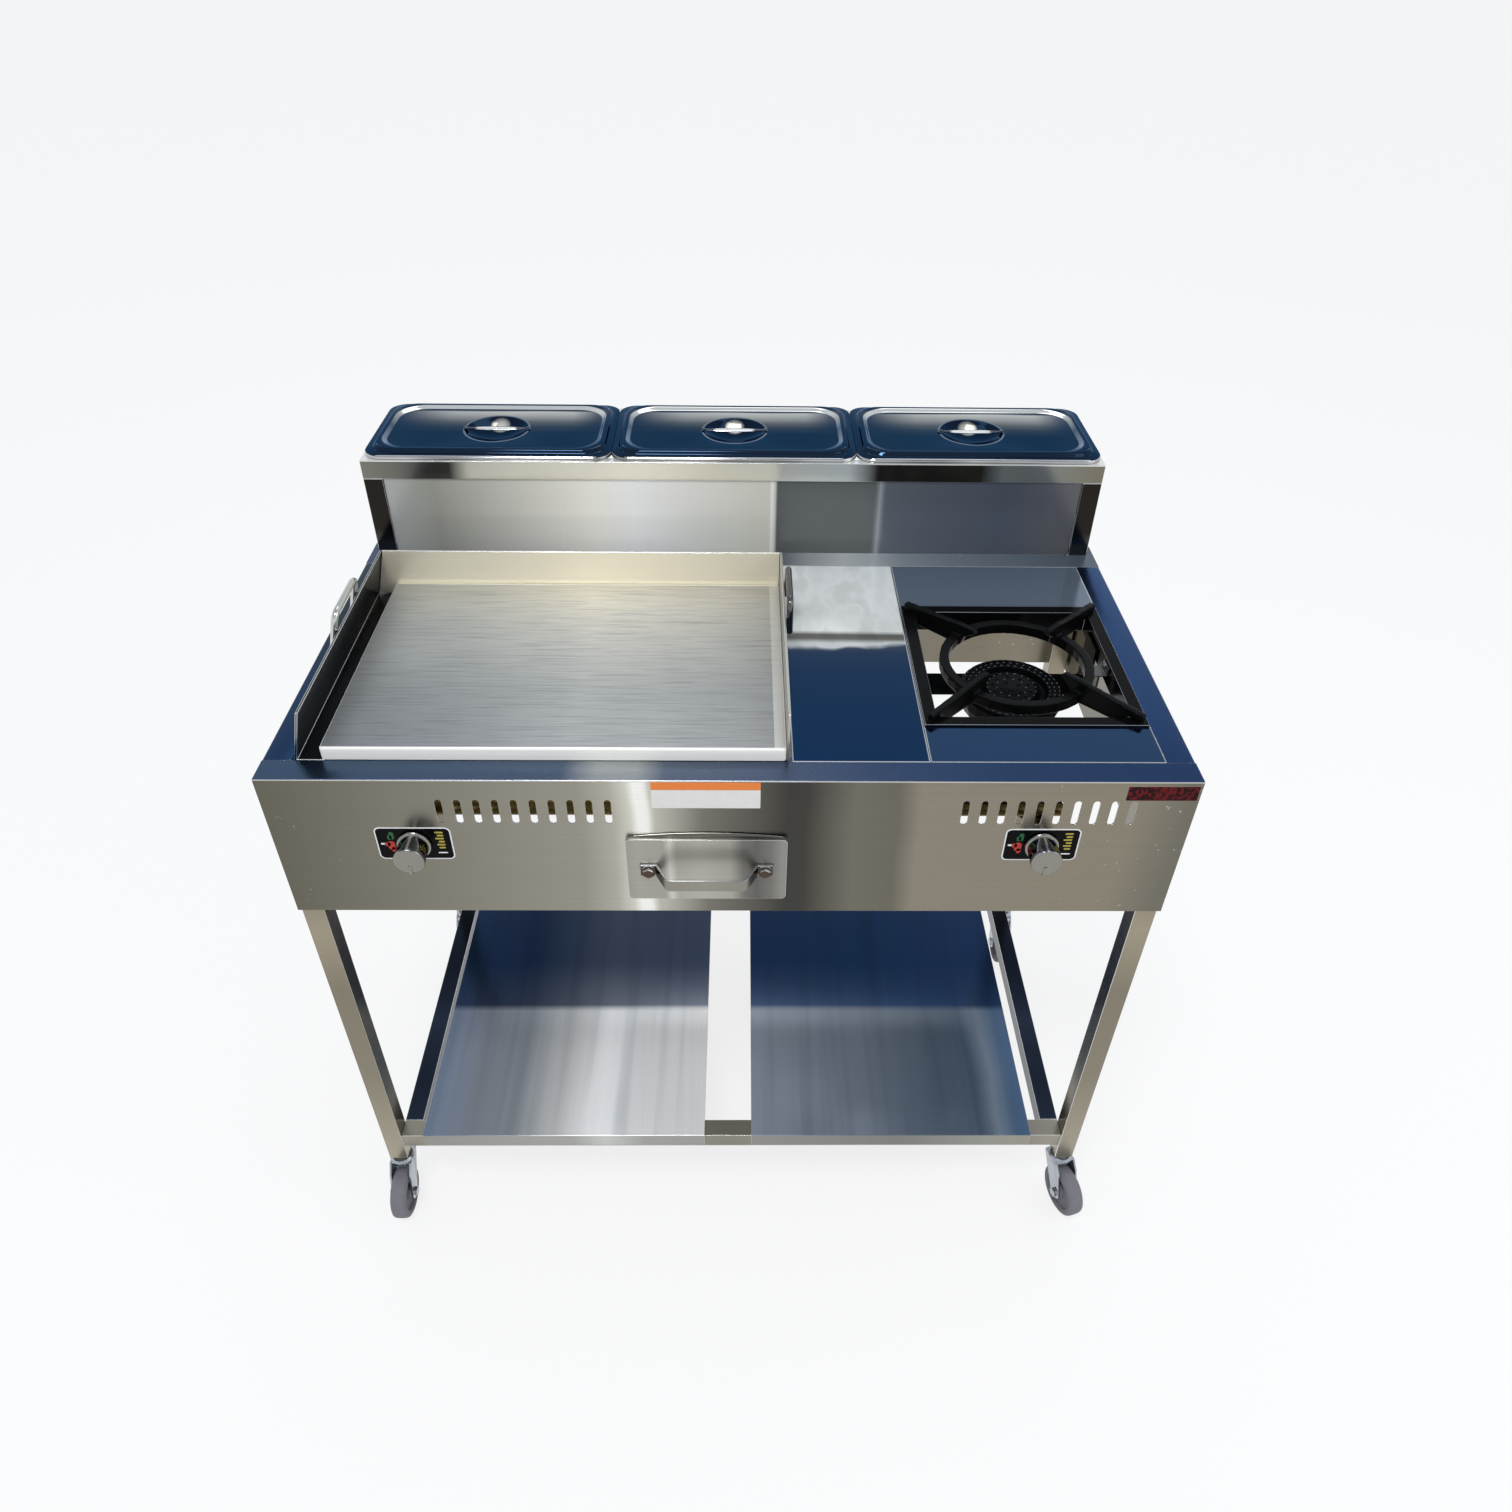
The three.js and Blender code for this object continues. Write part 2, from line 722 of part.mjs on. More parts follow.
// A valve: front nut, body, stem towards the knob, nozzle towards the burner and a top inlet.
function valve(x) {
  const front = sheet + seat;
  const nutLength = 7;
  const bodyEnd = 40;
  const nozzleRadius = 5;
  const stemEnd = -16;
  const inletRadius = 7;
  const body = turned([
    [0, stemEnd],
    [stemRadius, stemEnd],
    [stemRadius, front],
    [valveRadius + nutFlare, front],
    [valveRadius + nutFlare, front + nutLength],
    [valveRadius, front + nutLength],
    [valveRadius, bodyEnd],
    [nozzleRadius, bodyEnd + nutLength],
    [nozzleRadius, valveReach],
    [0, valveReach],
  ], 12).rotateX(-quarter).translate(x, 0, knobZ);
  const inlet = cylinder(inletRadius, knobZ, knobZ + pipeRise - pipeRadius - seat, 12);
  return join(body, inlet.translate(x, pipeY, 0));
}

const pipeY = 30;

// The supply pipe over both valves, with its inlet turned down at the left end.
function gasPipe() {
  const pastValve = 24;
  const inletDrop = 60;
  const unionRadius = 13;
  const unionLength = 16;
  const z = knobZ + pipeRise;
  const left = leftKnobX - 2 * pastValve;
  const corner = new THREE.Vector3(left, pipeY, z);
  const path = new BentPath([
    new THREE.Vector3(left, pipeY, z - inletDrop),
    corner,
    new THREE.Vector3(rightKnobX + pastValve, pipeY, z),
  ], 2 * pipeRadius);
  const union = cylinder(unionRadius, 0, unionLength, 6).translate(left, pipeY, z - inletDrop);
  return join(rod(path, pipeRadius, 10), union);
}

// A knob: a skirt ring, a drum that widens a little to a flat cap, and a pointer rib at its foot.
function knob(x) {
  const skirt = 18.7;
  const skirtLength = 3.5;
  const drumFoot = 16.3;
  const chamfer = 1.2;
  const boreDepth = 15;
  const back = -1.8;
  const bore = stemRadius + seat;
  const cap = back - knobLength;
  const pointerWidth = 4;
  const pointerHeight = 1.4;
  const body = turned([
    [0, cap],
    [knobRadius - chamfer, cap],
    [knobRadius, cap + chamfer],
    [drumFoot, back - skirtLength],
    [skirt - chamfer, back - skirtLength],
    [skirt, back - skirtLength + chamfer],
    [skirt, back],
    [bore, back],
    [bore, back - boreDepth],
    [0, back - boreDepth],
  ], 24).rotateX(-quarter).translate(x, 0, knobZ);
  const pointer = slab(
    [x - pointerWidth / 2, x + pointerWidth / 2],
    [cap - pointerHeight / 2, cap + knobLength / 2],
    [knobZ - knobRadius - pointerHeight, knobZ - knobRadius / 3],
  );
  return join(body, pointer);
}

add('gas_pipe', gasPipe(), brass());
add('valve_left', valve(leftKnobX), brass());
add('valve_right', valve(rightKnobX), brass());
add('knob_left', knob(leftKnobX), chrome());
add('knob_right', knob(rightKnobX), chrome());

// A mixing bell: the flared mouth that takes the valve's gas jet, pointing to the front.
function bell(x) {
  const mouth = griddleTubeRadius + bellFlare;
  const throat = mixerRadius - bellFlare / 3;
  const y = valveReach + seat;
  return turned([
    [0, y],
    [mouth, y],
    [mouth, y + bellReach / 4],
    [throat, y + bellReach],
    [0, y + bellReach],
  ], 14).rotateX(-quarter).translate(x, 0, knobZ);
}

const portRadius = 1.6;
const portDepth = 4;

// Griddle burner: a tube bent into a U under the plate, with a row of ports along its top.
function griddleBurner() {
  const z = tableHeight - griddleTubeDrop;
  const centre = (plateLeft + plateRight) / 2;
  const farX = 2 * centre - leftKnobX;
  const backMargin = 46;
  const frontMargin = 60;
  const rearY = backWallFace - backMargin;
  const frontEnd = deckFront + frontMargin;
  const start = valveReach + seat + bellReach / 2;
  const rise = z - knobZ;
  const corner = (x, y, height) => new THREE.Vector3(x, y, height);
  const path = new BentPath([
    corner(leftKnobX, start, knobZ),
    corner(leftKnobX, start + rise, knobZ),
    corner(leftKnobX, start + rise * 2.2, z),
    corner(leftKnobX, rearY, z),
    corner(farX, rearY, z),
    corner(farX, frontEnd, z),
  ], griddleTubeRadius * 2.6);
  const portsPerLeg = 7;
  const pitch = griddleTubeRadius * 1.5;
  const top = z + griddleTubeRadius;
  const ports = [leftKnobX, farX].flatMap((x) => Array.from({ length: portsPerLeg }, (_, k) =>
    cylinder(portRadius, top - portDepth, top + overrun, 5).translate(x, rearY - 2.4 * pitch - k * pitch, 0)));
  return cut(join(rod(path, griddleTubeRadius, 10), bell(leftKnobX)), ...ports);
}
add('griddle_burner', griddleBurner(), castIron());

// Cast burner: an outer crown with two rows of ports, a groove and an inner disc with its own ports.
const headTop = tableHeight - burnerHeadDrop;
const headHeight = 38;
const headFoot = headTop - headHeight;

function portRing(radius, count, z) {
  return Array.from({ length: count }, (_, k) => {
    const angle = (2 * Math.PI * (k + 0.5)) / count;
    const port = cylinder(portRadius, z - portDepth, z + overrun, 5);
    return port.translate(burnerX + radius * Math.cos(angle), burnerY + radius * Math.sin(angle), 0);
  });
}

function ringBurner() {
  const r = burnerHeadRadius;
  const grooveDepth = 9;
  const dish = 3;
  const head = turned([
    [0, headFoot],
    [r * 0.72, headFoot],
    [r * 0.94, headFoot + headHeight * 0.28],
    [r, headFoot + headHeight * 0.6],
    [r, headTop - dish],
    [r * 0.96, headTop],
    [r * 0.72, headTop],
    [r * 0.69, headTop - grooveDepth],
    [r * 0.56, headTop - grooveDepth],
    [r * 0.53, headTop - dish],
    [r * 0.48, headTop],
    [0, headTop - dish],
  ], 28).translate(burnerX, burnerY, 0);
  const lugWidth = 32;
  const lugThickness = 6;
  const lug = slab(
    [burnerX - lugWidth / 2, burnerX + lugWidth / 2],
    [burnerY, burnerY + strapY1 - seat],
    [headFoot, headFoot + lugThickness],
  );
  const start = new THREE.Vector3(rightKnobX, valveReach + seat + bellReach / 2, knobZ);
  const end = new THREE.Vector3(burnerX, burnerY - r * 0.4, headFoot + griddleTubeRadius);
  const lead = new THREE.Vector3(0, (end.y - start.y) / 3, 0);
  const path = new THREE.CubicBezierCurve3(start, start.clone().add(lead), end.clone().sub(lead), end);
  const whole = join(head, lug, rod(path, mixerRadius, 10, 8), bell(rightKnobX));
  return cut(
    whole,
    ...portRing(r * 0.9, 28, headTop),
    ...portRing(r * 0.79, 24, headTop),
    ...portRing(r * 0.37, 10, headTop - dish / 2),
    ...portRing(r * 0.2, 5, headTop - dish / 2),
  );
}

// Black frame in the deck's square hole, with a skirt down the hole's sides.
const frameRim = 2.5;
const frameFoot = tableHeight + seat;
const skirtHalf = burnerHole / 2 - frameClearance;
const skirtWall = 2;
const skirtDrop = 24;

function burnerFrame() {
  const outer = burnerFrameSize / 2;
  const inner = skirtHalf - skirtWall;
  const square = (half) => [[burnerX - half, burnerX + half], [burnerY - half, burnerY + half]];
  const rim = slab(...square(outer), [frameFoot, frameFoot + frameRim]);
  const skirt = slab(...square(skirtHalf), [tableHeight - skirtDrop, frameFoot + frameRim / 2]);
  const hole = slab(...square(inner), [tableHeight - skirtDrop - overrun, frameFoot + frameRim + overrun]);
  return cut(join(rim, skirt), hole);
}

// The strap that hangs from the frame's skirt and carries the cast burner's rear lug.
const strapY0 = 40;
const strapY1 = 84;

function supportStrap() {
  const reach = skirtHalf - skirtWall - seat;
  const top = headFoot - seat;
  const thickness = 3;
  const section = ribbon([
    [burnerX - reach, tableHeight - skirtDrop / 3],
    [burnerX - reach, top - thickness, 2 * thickness],
    [burnerX + reach, top - thickness, 2 * thickness],
    [burnerX + reach, tableHeight - skirtDrop / 3],
  ].reverse(), thickness);
  return alongY(section, burnerY + strapY0, burnerY + strapY1);
}

// Pot grate: a ring on four diagonal arms, each with a raised finger over the flame.
function potGrate() {
  const ringRise = 4;
  const armHeight = 9;
  const ringTop = tableHeight + ringRise;
  const ringHeight = 14;
  const armWidth = 8;
  const armFoot = frameFoot + frameRim + seat;
  const armTop = armFoot + armHeight;
  const armReach = 170;
  const restStart = (skirtHalf - skirtWall) * Math.SQRT2 - armWidth / 2 - seat;
  const fingerTip = ringRadius * 0.66;
  const fingerRise = 15;
  const fingerTop = ringTop + fingerRise;
  const inner = ringRadius - ringBar;
  const ring = turned([
    [inner, ringTop - ringHeight],
    [ringRadius, ringTop - ringHeight],
    [ringRadius, ringTop],
    [inner, ringTop],
    [inner, ringTop - ringHeight],
  ], 36);
  const arm = outline([
    [fingerTip, fingerTop - fingerRise / 3],
    [fingerTip + fingerRise / 4, fingerTop],
    [inner + ringBar / 3, fingerTop],
    [ringRadius + ringBar, armTop + armHeight / 2],
    [armReach, armTop],
    [armReach, armFoot],
    [restStart, armFoot],
    [restStart - armWidth, ringTop - ringHeight],
    [inner, ringTop - ringHeight],
    [inner - ringBar / 2, ringTop],
  ]);
  const arms = [0, 1, 2, 3].map((k) => {
    const blade = alongY(arm, -armWidth / 2, armWidth / 2);
    return blade.rotateZ(quarter * (k + 0.5));
  });
  return join(ring, ...arms).translate(burnerX, burnerY, 0);
}

// A pilot: a small bracket on the frame's right side with an upright brass-coloured tube.
function pilot() {
  const face = burnerX + skirtHalf - skirtWall - seat;
  const shelf = tableHeight - skirtDrop / 2;
  const reach = 16;
  const width = 22;
  const plate = 1.5;
  const pilotRadius = 4;
  const pilotDrop = 30;
  const y = burnerY - width / 2;
  const section = ribbon([
    [face, tableHeight - seat],
    [face, shelf],
    [face - reach, shelf],
  ], plate);
  const tube = cylinder(pilotRadius, shelf - pilotDrop, shelf + plate / 2, 12);
  return join(
    alongY(section, y, y + width),
    tube.translate(face - reach / 2 - plate, burnerY, 0),
  );
}

add('ring_burner', ringBurner(), castIron());
add('burner_frame', burnerFrame(), castIron());
add('burner_support_strap', supportStrap(), castIron());
add('pot_grate', potGrate(), castIron());
add('pilot_bracket', pilot(), zinc());

// Drip tray on two angle runners, with a folded front and a strap handle.
function dripTray() {
  const { x0, x1, z0, z1 } = trayOpening;
  const play = 1;
  const wall = 1;
  const runnerTop = z0 + play;
  const left = x0 + 2 * play;
  const right = x1 - 2 * play;
  const bottom = runnerTop + seat;
  const top = z1 - 2 * play;
  const faceY = -seat - trayFrontDepth;
  const frontY = faceY + sheet + seat;
  const rearY = frontY + trayLength;
  const box = slab([left, right], [frontY, rearY], [bottom, top]);
  const inside = slab([left + wall, right - wall], [frontY + wall, rearY - wall], [bottom + wall, top + overrun]);
  add('drip_tray', cut(box, inside), satinSteel());

  const halfFront = trayFrontWidth / 2;
  const frontTop = tableHeight - trayFrontDrop;
  const frontFoot = frontTop - trayFrontHeight;
  const cornerRadius = 5;
  const middle = (frontTop + frontFoot) / 2;
  const plateShape = (inset) => new THREE.Shape(
    roundRectangle(halfFront - inset, trayFrontHeight / 2 - inset, cornerRadius - inset, 4));
  const shell = alongY(plateShape(0), faceY, -seat);
  const pocket = alongY(plateShape(sheet), faceY + sheet, overrun);
  add('drip_tray_front', cut(shell, pocket).translate(trayOffset, 0, middle), satinSteel());

  const footHalf = 74;
  const padLength = 19;
  const rungHalf = 42;
  const strapZ = tableHeight - strapDrop;
  const back = faceY - seat;
  const strap = ribbon([
    [-footHalf, back],
    [padLength - footHalf, back],
    [-rungHalf, back - strapReach, 2 * strapThickness],
    [rungHalf, back - strapReach, 2 * strapThickness],
    [footHalf - padLength, back],
    [footHalf, back],
  ], strapThickness);
  add('drip_tray_handle', alongZ(strap, strapZ - strapHeight / 2, strapZ + strapHeight / 2)
    .translate(trayOffset, 0, 0), brightSteel());

  const runnerWidth = 14;
  const runnerHeight = 22;
  const runner = (side) => {
    const guard = side < 0 ? left - seat - sheet : right + seat + sheet;
    const line = [
      [guard, runnerTop - sheet + runnerHeight],
      [guard, runnerTop - sheet],
      [guard - side * runnerWidth, runnerTop - sheet],
    ];
    const section = ribbon(side < 0 ? line.reverse() : line, sheet);
    return alongY(section, sheet + seat, tableDepth - sheet - seat);
  };
  add('tray_runner_left', runner(-1), satinSteel());
  add('tray_runner_right', runner(1), satinSteel());
}
dripTray();

// Rear shelf

function rearShelf() {
  const half = shelfLength / 2;
  const postX = half - tubeSize / 2;
  const postY = shelfFront + tubeSize / 2;
  const post = (x) => alongZ(tubeSection(x, postY, tubeSize, tubeSize, tubeWall), tableHeight + seat, shelfBottom - seat);
  add('rear_post_left', post(-postX), chrome());
  add('rear_post_right', post(postX), chrome());

  const sheetInset = 2;
  const end = half - tubeSize - seat;
  const splash = slab([-end, end], [shelfFront + sheetInset, shelfFront + sheetInset + sheet],
    [tableHeight + seat, shelfBottom - seat]);
  add('backsplash', splash, satinSteel());

  const ringAt = (inset, z0, z1) => slab(
    [inset - half, half - inset],
    [shelfFront + inset, shelfFront + shelfDepth - inset],
    [z0, z1],
  );
  const body = ringAt(0, shelfBottom, shelfTop);
  const opening = ringAt(shelfRailWidth, shelfBottom - overrun, shelfTop + overrun);
  const channel = cut(
    ringAt(sheet, shelfBottom - overrun, shelfTop - sheet),
    ringAt(shelfRailWidth - sheet, shelfBottom - 2 * overrun, shelfTop),
  );
  add('pan_shelf_frame', cut(body, opening, channel), brightSteel());
}
rearShelf();

const panCorner = 24;
const panRim = 11.5;
const panRimDrop = 4;
const panWall = 1;
const panRimTop = shelfTop + seat + panRimDrop;
const roundSteps = 3;

// One ring of a pan or a lid: the outer edge drawn in, its corner radius and its height.
function panRing(inset, radius, z) {
  const halfX = (panLength - seat) / 2 - inset;
  const halfY = panWidth / 2 - inset;
  return roundRectangle(halfX, halfY, radius, roundSteps).map((p) => new THREE.Vector3(p.x, p.y, z));
}

// A food pan: rolled rim, drafted walls and a rounded foot.
function foodPan() {
  const draft = 8;
  const footRadius = 9;
  const deepCorner = 40;
  const lip = 1.4;
  const top = panRimTop;
  const bottom = top - panDepth;
  return loft([
    panRing(panRim + draft + footRadius, deepCorner - footRadius, bottom + panWall),
    panRing(panRim + draft + panWall, deepCorner, bottom + panWall + footRadius),
    panRing(panRim + panWall, deepCorner, top - panWall),
    panRing(panRim - panWall, deepCorner, top),
    panRing(panWall, panCorner, top),
    panRing(0, panCorner, top - panWall),
    panRing(0, panCorner, top - panRimDrop),
    panRing(lip, panCorner - lip, top - panRimDrop),
    panRing(lip, panCorner - lip, top - panWall - panWall / 2),
    panRing(panRim - panWall, deepCorner, top - panWall - panWall / 2),
    panRing(panRim, deepCorner, top - 2 * panWall),
    panRing(panRim + draft, deepCorner, bottom + footRadius),
    panRing(panRim + draft + footRadius, deepCorner - footRadius, bottom),
  ]);
}

// A lid: flat edge, raised border, sunk field with large corners, a round dish and a strap over it.
function panLid() {
  const gauge = 1;
  const base = panRimTop + seat;
  const borderRise = 6;
  const fieldRise = 2;
  const edgeWidth = 8;
  const borderWidth = 7;
  const slopeWidth = 5;
  const fieldCorner = 38;
  const dishRadius = 42;
  const dishDepth = 13;
  const gripLength = 80;
  const gripWidth = 10;
  const gripGauge = 2;
  const insets = [
    [0, panCorner, gauge],
    [edgeWidth, panCorner, gauge],
    [edgeWidth + slopeWidth / 2, fieldCorner - slopeWidth, gauge + borderRise],
    [edgeWidth + slopeWidth / 2 + borderWidth, fieldCorner, gauge + borderRise],
    [edgeWidth + borderWidth + 2 * slopeWidth, fieldCorner, gauge + fieldRise],
  ];
  const upper = insets.map(([inset, radius, z]) => panRing(inset, radius, base + z));
  const lower = insets.map(([inset, radius, z]) => panRing(inset, radius, base + z - gauge));
  const cover = loft([...lower.reverse(), ...upper]);
  const field = base + gauge + fieldRise;
  const bowl = (extra, top) => turned([
    [0, field - dishDepth - extra],
    [dishRadius * 0.5, field - dishDepth * 0.9 - extra],
    [dishRadius * 0.82, field - dishDepth * 0.55 - extra],
    [dishRadius * 0.97 + extra, field - dishDepth * 0.12 - extra],
    [dishRadius + extra, top],
    [0, top],
  ], 20);
  const grip = slab([-gripLength / 2, gripLength / 2], [-gripWidth / 2, gripWidth / 2],
    [field - gripGauge, field - gripGauge / 4]);
  const dished = cut(join(cover, bowl(gauge, field - gauge / 4)), bowl(0, field + overrun));
  return join(dished, grip);
}

for (let k = 0; k < panCount; k += 1) {
  const x = (k - (panCount - 1) / 2) * panLength;
  const y = shelfFront + shelfDepth / 2;
  add(`food_pan_${k + 1}`, foodPan().translate(x, y, 0), brightSteel());
  add(`pan_lid_${k + 1}`, panLid().translate(x, y, 0), blueSteel());
}

// The origin is on the floor under the middle of the whole cart.
const bounds = new THREE.Box3().setFromObject(cart);
const middle = bounds.getCenter(new THREE.Vector3());
cart.position.set(-middle.x, -middle.y, 0);

const group = new THREE.Group();
group.add(cart);
export default group;
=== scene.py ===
"""A catering cart: folded stainless sheet, a ground griddle, a cast burner and three lidded pans."""
import json
import math

import bmesh
import bpy
from mathutils import Matrix, Vector


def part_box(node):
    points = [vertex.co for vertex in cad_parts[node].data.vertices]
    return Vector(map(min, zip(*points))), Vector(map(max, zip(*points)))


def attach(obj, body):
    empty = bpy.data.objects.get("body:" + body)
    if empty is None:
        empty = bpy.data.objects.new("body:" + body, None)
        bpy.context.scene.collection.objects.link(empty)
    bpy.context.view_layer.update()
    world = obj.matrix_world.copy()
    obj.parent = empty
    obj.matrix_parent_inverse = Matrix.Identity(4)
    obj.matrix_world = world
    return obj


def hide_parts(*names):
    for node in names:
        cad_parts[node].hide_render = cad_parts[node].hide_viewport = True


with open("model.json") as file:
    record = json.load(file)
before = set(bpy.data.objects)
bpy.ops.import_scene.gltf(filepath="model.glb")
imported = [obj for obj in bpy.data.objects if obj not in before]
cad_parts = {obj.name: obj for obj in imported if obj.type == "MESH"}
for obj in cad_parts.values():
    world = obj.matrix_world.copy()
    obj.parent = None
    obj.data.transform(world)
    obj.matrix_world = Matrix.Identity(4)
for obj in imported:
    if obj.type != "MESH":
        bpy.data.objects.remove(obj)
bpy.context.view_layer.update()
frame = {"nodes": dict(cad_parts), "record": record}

bl_info = {
    "name": "Catering cart",
    "version": (1, 0, 0),
    "blender": (4, 5, 0),
    "location": "3D View > Sidebar > Cart",
    "description": "Dresses the packed catering cart with finishes, rounded pieces and a plain stage",
    "category": "Object",
}

MM = 0.001


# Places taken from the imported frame

def low(node):
    return Vector(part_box(node)[0])


def high(node):
    return Vector(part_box(node)[1])


def centre(node):
    return (low(node) + high(node)) / 2


# Node trees

def opaque(colour):
    """A colour with its alpha; a number stands for a grey."""
    return (*colour, 1.0) if isinstance(colour, tuple) else (colour, colour, colour, 1.0)


class Tree:
    """A short hand for building one material's node tree."""

    def __init__(self, name, use_world=False):
        holder = bpy.data.worlds.new(name) if use_world else bpy.data.materials.new(name)
        holder.use_nodes = True
        self.holder = holder
        self.nodes = holder.node_tree.nodes
        self.links = holder.node_tree.links
        self.nodes.clear()

    def add(self, kind, **settings):
        node = self.nodes.new(kind)
        for name, value in settings.items():
            setattr(node, name, value)
        return node

    def link(self, source, target):
        self.links.new(source, target)

    def feed(self, value, socket):
        """Sets a socket to a number or a colour, or links another socket to it."""
        if isinstance(value, (int, float)):
            socket.default_value = value
        elif isinstance(value, tuple):
            socket.default_value = opaque(value)
        else:
            self.link(value, socket)

    def place(self, scale=(1, 1, 1), location=(0, 0, 0)):
        """Object coordinates in metres, stretched by scale."""
        coordinates = self.add("ShaderNodeTexCoord")
        mapping = self.add("ShaderNodeMapping")
        mapping.inputs["Scale"].default_value = scale
        mapping.inputs["Location"].default_value = location
        self.link(coordinates.outputs["Object"], mapping.inputs["Vector"])
        return mapping.outputs["Vector"]

    def noise(self, vector, scale, detail=4.0, roughness=0.55):
        node = self.add("ShaderNodeTexNoise")
        node.inputs["Scale"].default_value = scale
        node.inputs["Detail"].default_value = detail
        node.inputs["Roughness"].default_value = roughness
        self.link(vector, node.inputs["Vector"])
        return node.outputs["Fac"]

    def ramp(self, factor, stops):
        """A colour ramp from (position, colour) pairs; a number stands for a grey."""
        node = self.add("ShaderNodeValToRGB")
        elements = node.color_ramp.elements
        while len(elements) < len(stops):
            elements.new(1.0)
        for element, (position, colour) in zip(elements, stops):
            element.position = position
            element.color = opaque(colour)
        self.link(factor, node.inputs["Fac"])
        return node.outputs["Color"]

    def spread(self, factor, low_value, high_value):
        """Carries a 0 to 1 factor to a range of values."""
        node = self.add("ShaderNodeMapRange")
        node.inputs["To Min"].default_value = low_value
        node.inputs["To Max"].default_value = high_value
        self.link(factor, node.inputs["Value"])
        return node.outputs["Result"]

    def share(self, value, start, end):
        """0 at start and 1 at end."""
        node = self.add("ShaderNodeMapRange")
        node.inputs["From Min"].default_value = start
        node.inputs["From Max"].default_value = end
        self.link(value, node.inputs["Value"])
        return node.outputs["Result"]

    def count(self, operation, *values):
        """One step of arithmetic on sockets and numbers."""
        node = self.add("ShaderNodeMath", operation=operation)
        for value, socket in zip(values, node.inputs):
            self.feed(value, socket)
        return node.outputs[0]

    def spot(self, axis):
        """The place along one axis, in metres."""
        split = self.add("ShaderNodeSeparateXYZ")
        self.link(self.place(), split.inputs[0])
        return split.outputs[axis]

    def facing(self, axis, start, end):
        """How far the surface faces along an axis, 0 at start and 1 at end."""
        normal = self.add("ShaderNodeNewGeometry")
        split = self.add("ShaderNodeSeparateXYZ")
        self.link(normal.outputs["Normal"], split.inputs[0])
        return self.share(split.outputs[axis], start, end)

    def tones(self, axis, start, end, stops, drift=0.0):
        """Colours by place along one axis, with a slow sway if drift is given."""
        value = self.spot(axis)
        if drift:
            sway = self.noise(self.place((6, 6, 6)), 1.0, 1.0)
            value = self.count("MULTIPLY_ADD", sway, drift, value)
        return self.ramp(self.share(value, start, end), stops)

    def over(self, node, axis, stops, drift=0.0):
        """Tones over a node's whole reach along one axis."""
        index = "XYZ".index(axis)
        return self.tones(axis, low(node)[index], high(node)[index], stops, drift)

    def around(self, x, y, inner, outer):
        """1 within the inner radius of an upright line and 0 beyond the outer one."""
        across = self.count("SUBTRACT", self.spot("X"), x)
        along = self.count("SUBTRACT", self.spot("Y"), y)
        square = self.count("MULTIPLY_ADD", across, across, self.count("MULTIPLY", along, along))
        return self.share(square, outer ** 2, inner ** 2)

    def band(self, axis, start, end):
        """1 between two places along an axis."""
        value = self.spot(axis)
        above = self.count("GREATER_THAN", value, start)
        return self.count("MULTIPLY", above, self.count("LESS_THAN", value, end))

    def border(self, node, width):
        """1 near the outer edges of a node's box, seen from above."""
        nearest = None
        for axis in ("X", "Y"):
            place = getattr(low(node), axis.lower()), getattr(high(node), axis.lower())
            for sign, limit in ((1, place[0]), (-1, place[1])):
                gap = self.count("MULTIPLY_ADD", self.spot(axis), sign, -sign * limit)
                nearest = gap if nearest is None else self.count("MINIMUM", nearest, gap)
        return self.count("LESS_THAN", nearest, width)

    def mix(self, factor, first, second, blend="MIX"):
        node = self.add("ShaderNodeMix", data_type="RGBA", blend_type=blend)
        for value, index in ((factor, 0), (first, 6), (second, 7)):
            self.feed(value, node.inputs[index])
        return node.outputs[2]

    def bump(self, height, strength, distance=0.0005, normal=None):
        node = self.add("ShaderNodeBump")
        node.inputs["Strength"].default_value = strength
        node.inputs["Distance"].default_value = distance
        self.link(height, node.inputs["Height"])
        if normal is not None:
            self.link(normal, node.inputs["Normal"])
        return node.outputs["Normal"]

    def surface(self, colour, roughness, metallic=1.0, normal=None, **constants):
        shader = self.add("ShaderNodeBsdfPrincipled")
        for value, name in ((colour, "Base Color"), (roughness, "Roughness"), (metallic, "Metallic")):
            self.feed(value, shader.inputs[name])
        if normal is not None:
            self.link(normal, shader.inputs["Normal"])
        for name, value in constants.items():
            shader.inputs[name.replace("_", " ")].default_value = value
        output = self.add("ShaderNodeOutputMaterial")
        self.link(shader.outputs[0], output.inputs["Surface"])
        return self.holder


def scaled(colour, share):
    return tuple(min(1.0, channel * share) for channel in colour[:3])


# Mesh tools

def piece(name, work, body, material, crease=32, replaces=(), bevel=0.0, segments=2, merge=1e-6, edge=None):
    """Turns a bmesh into a finished piece that rides on a body."""
    bmesh.ops.remove_doubles(work, verts=work.verts, dist=merge)
    bmesh.ops.recalc_face_normals(work, faces=work.faces)
    mesh = bpy.data.meshes.new(name)
    work.to_mesh(mesh)
    work.free()
    mesh.shade_smooth()
    mesh.set_sharp_from_angle(angle=math.radians(crease))
    item = bpy.data.objects.new(name, mesh)
    bpy.context.scene.collection.objects.link(item)
    mesh.materials.append(material)
    if bevel:
        modifier = item.modifiers.new("edges", "BEVEL")
        modifier.width = bevel
        modifier.segments = segments
        modifier.limit_method = "ANGLE"
        modifier.angle_limit = math.radians(crease)
        modifier.harden_normals = True
        if edge:
            mesh.materials.append(finish(edge))
            modifier.material = 1
    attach(item, body)
    if replaces:
        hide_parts(*replaces)
    return item


def body_of(node):
    for body, nodes in frame["record"]["behaviour"]["bodies"].items():
        if node in nodes:
            return body
    raise ValueError(node)


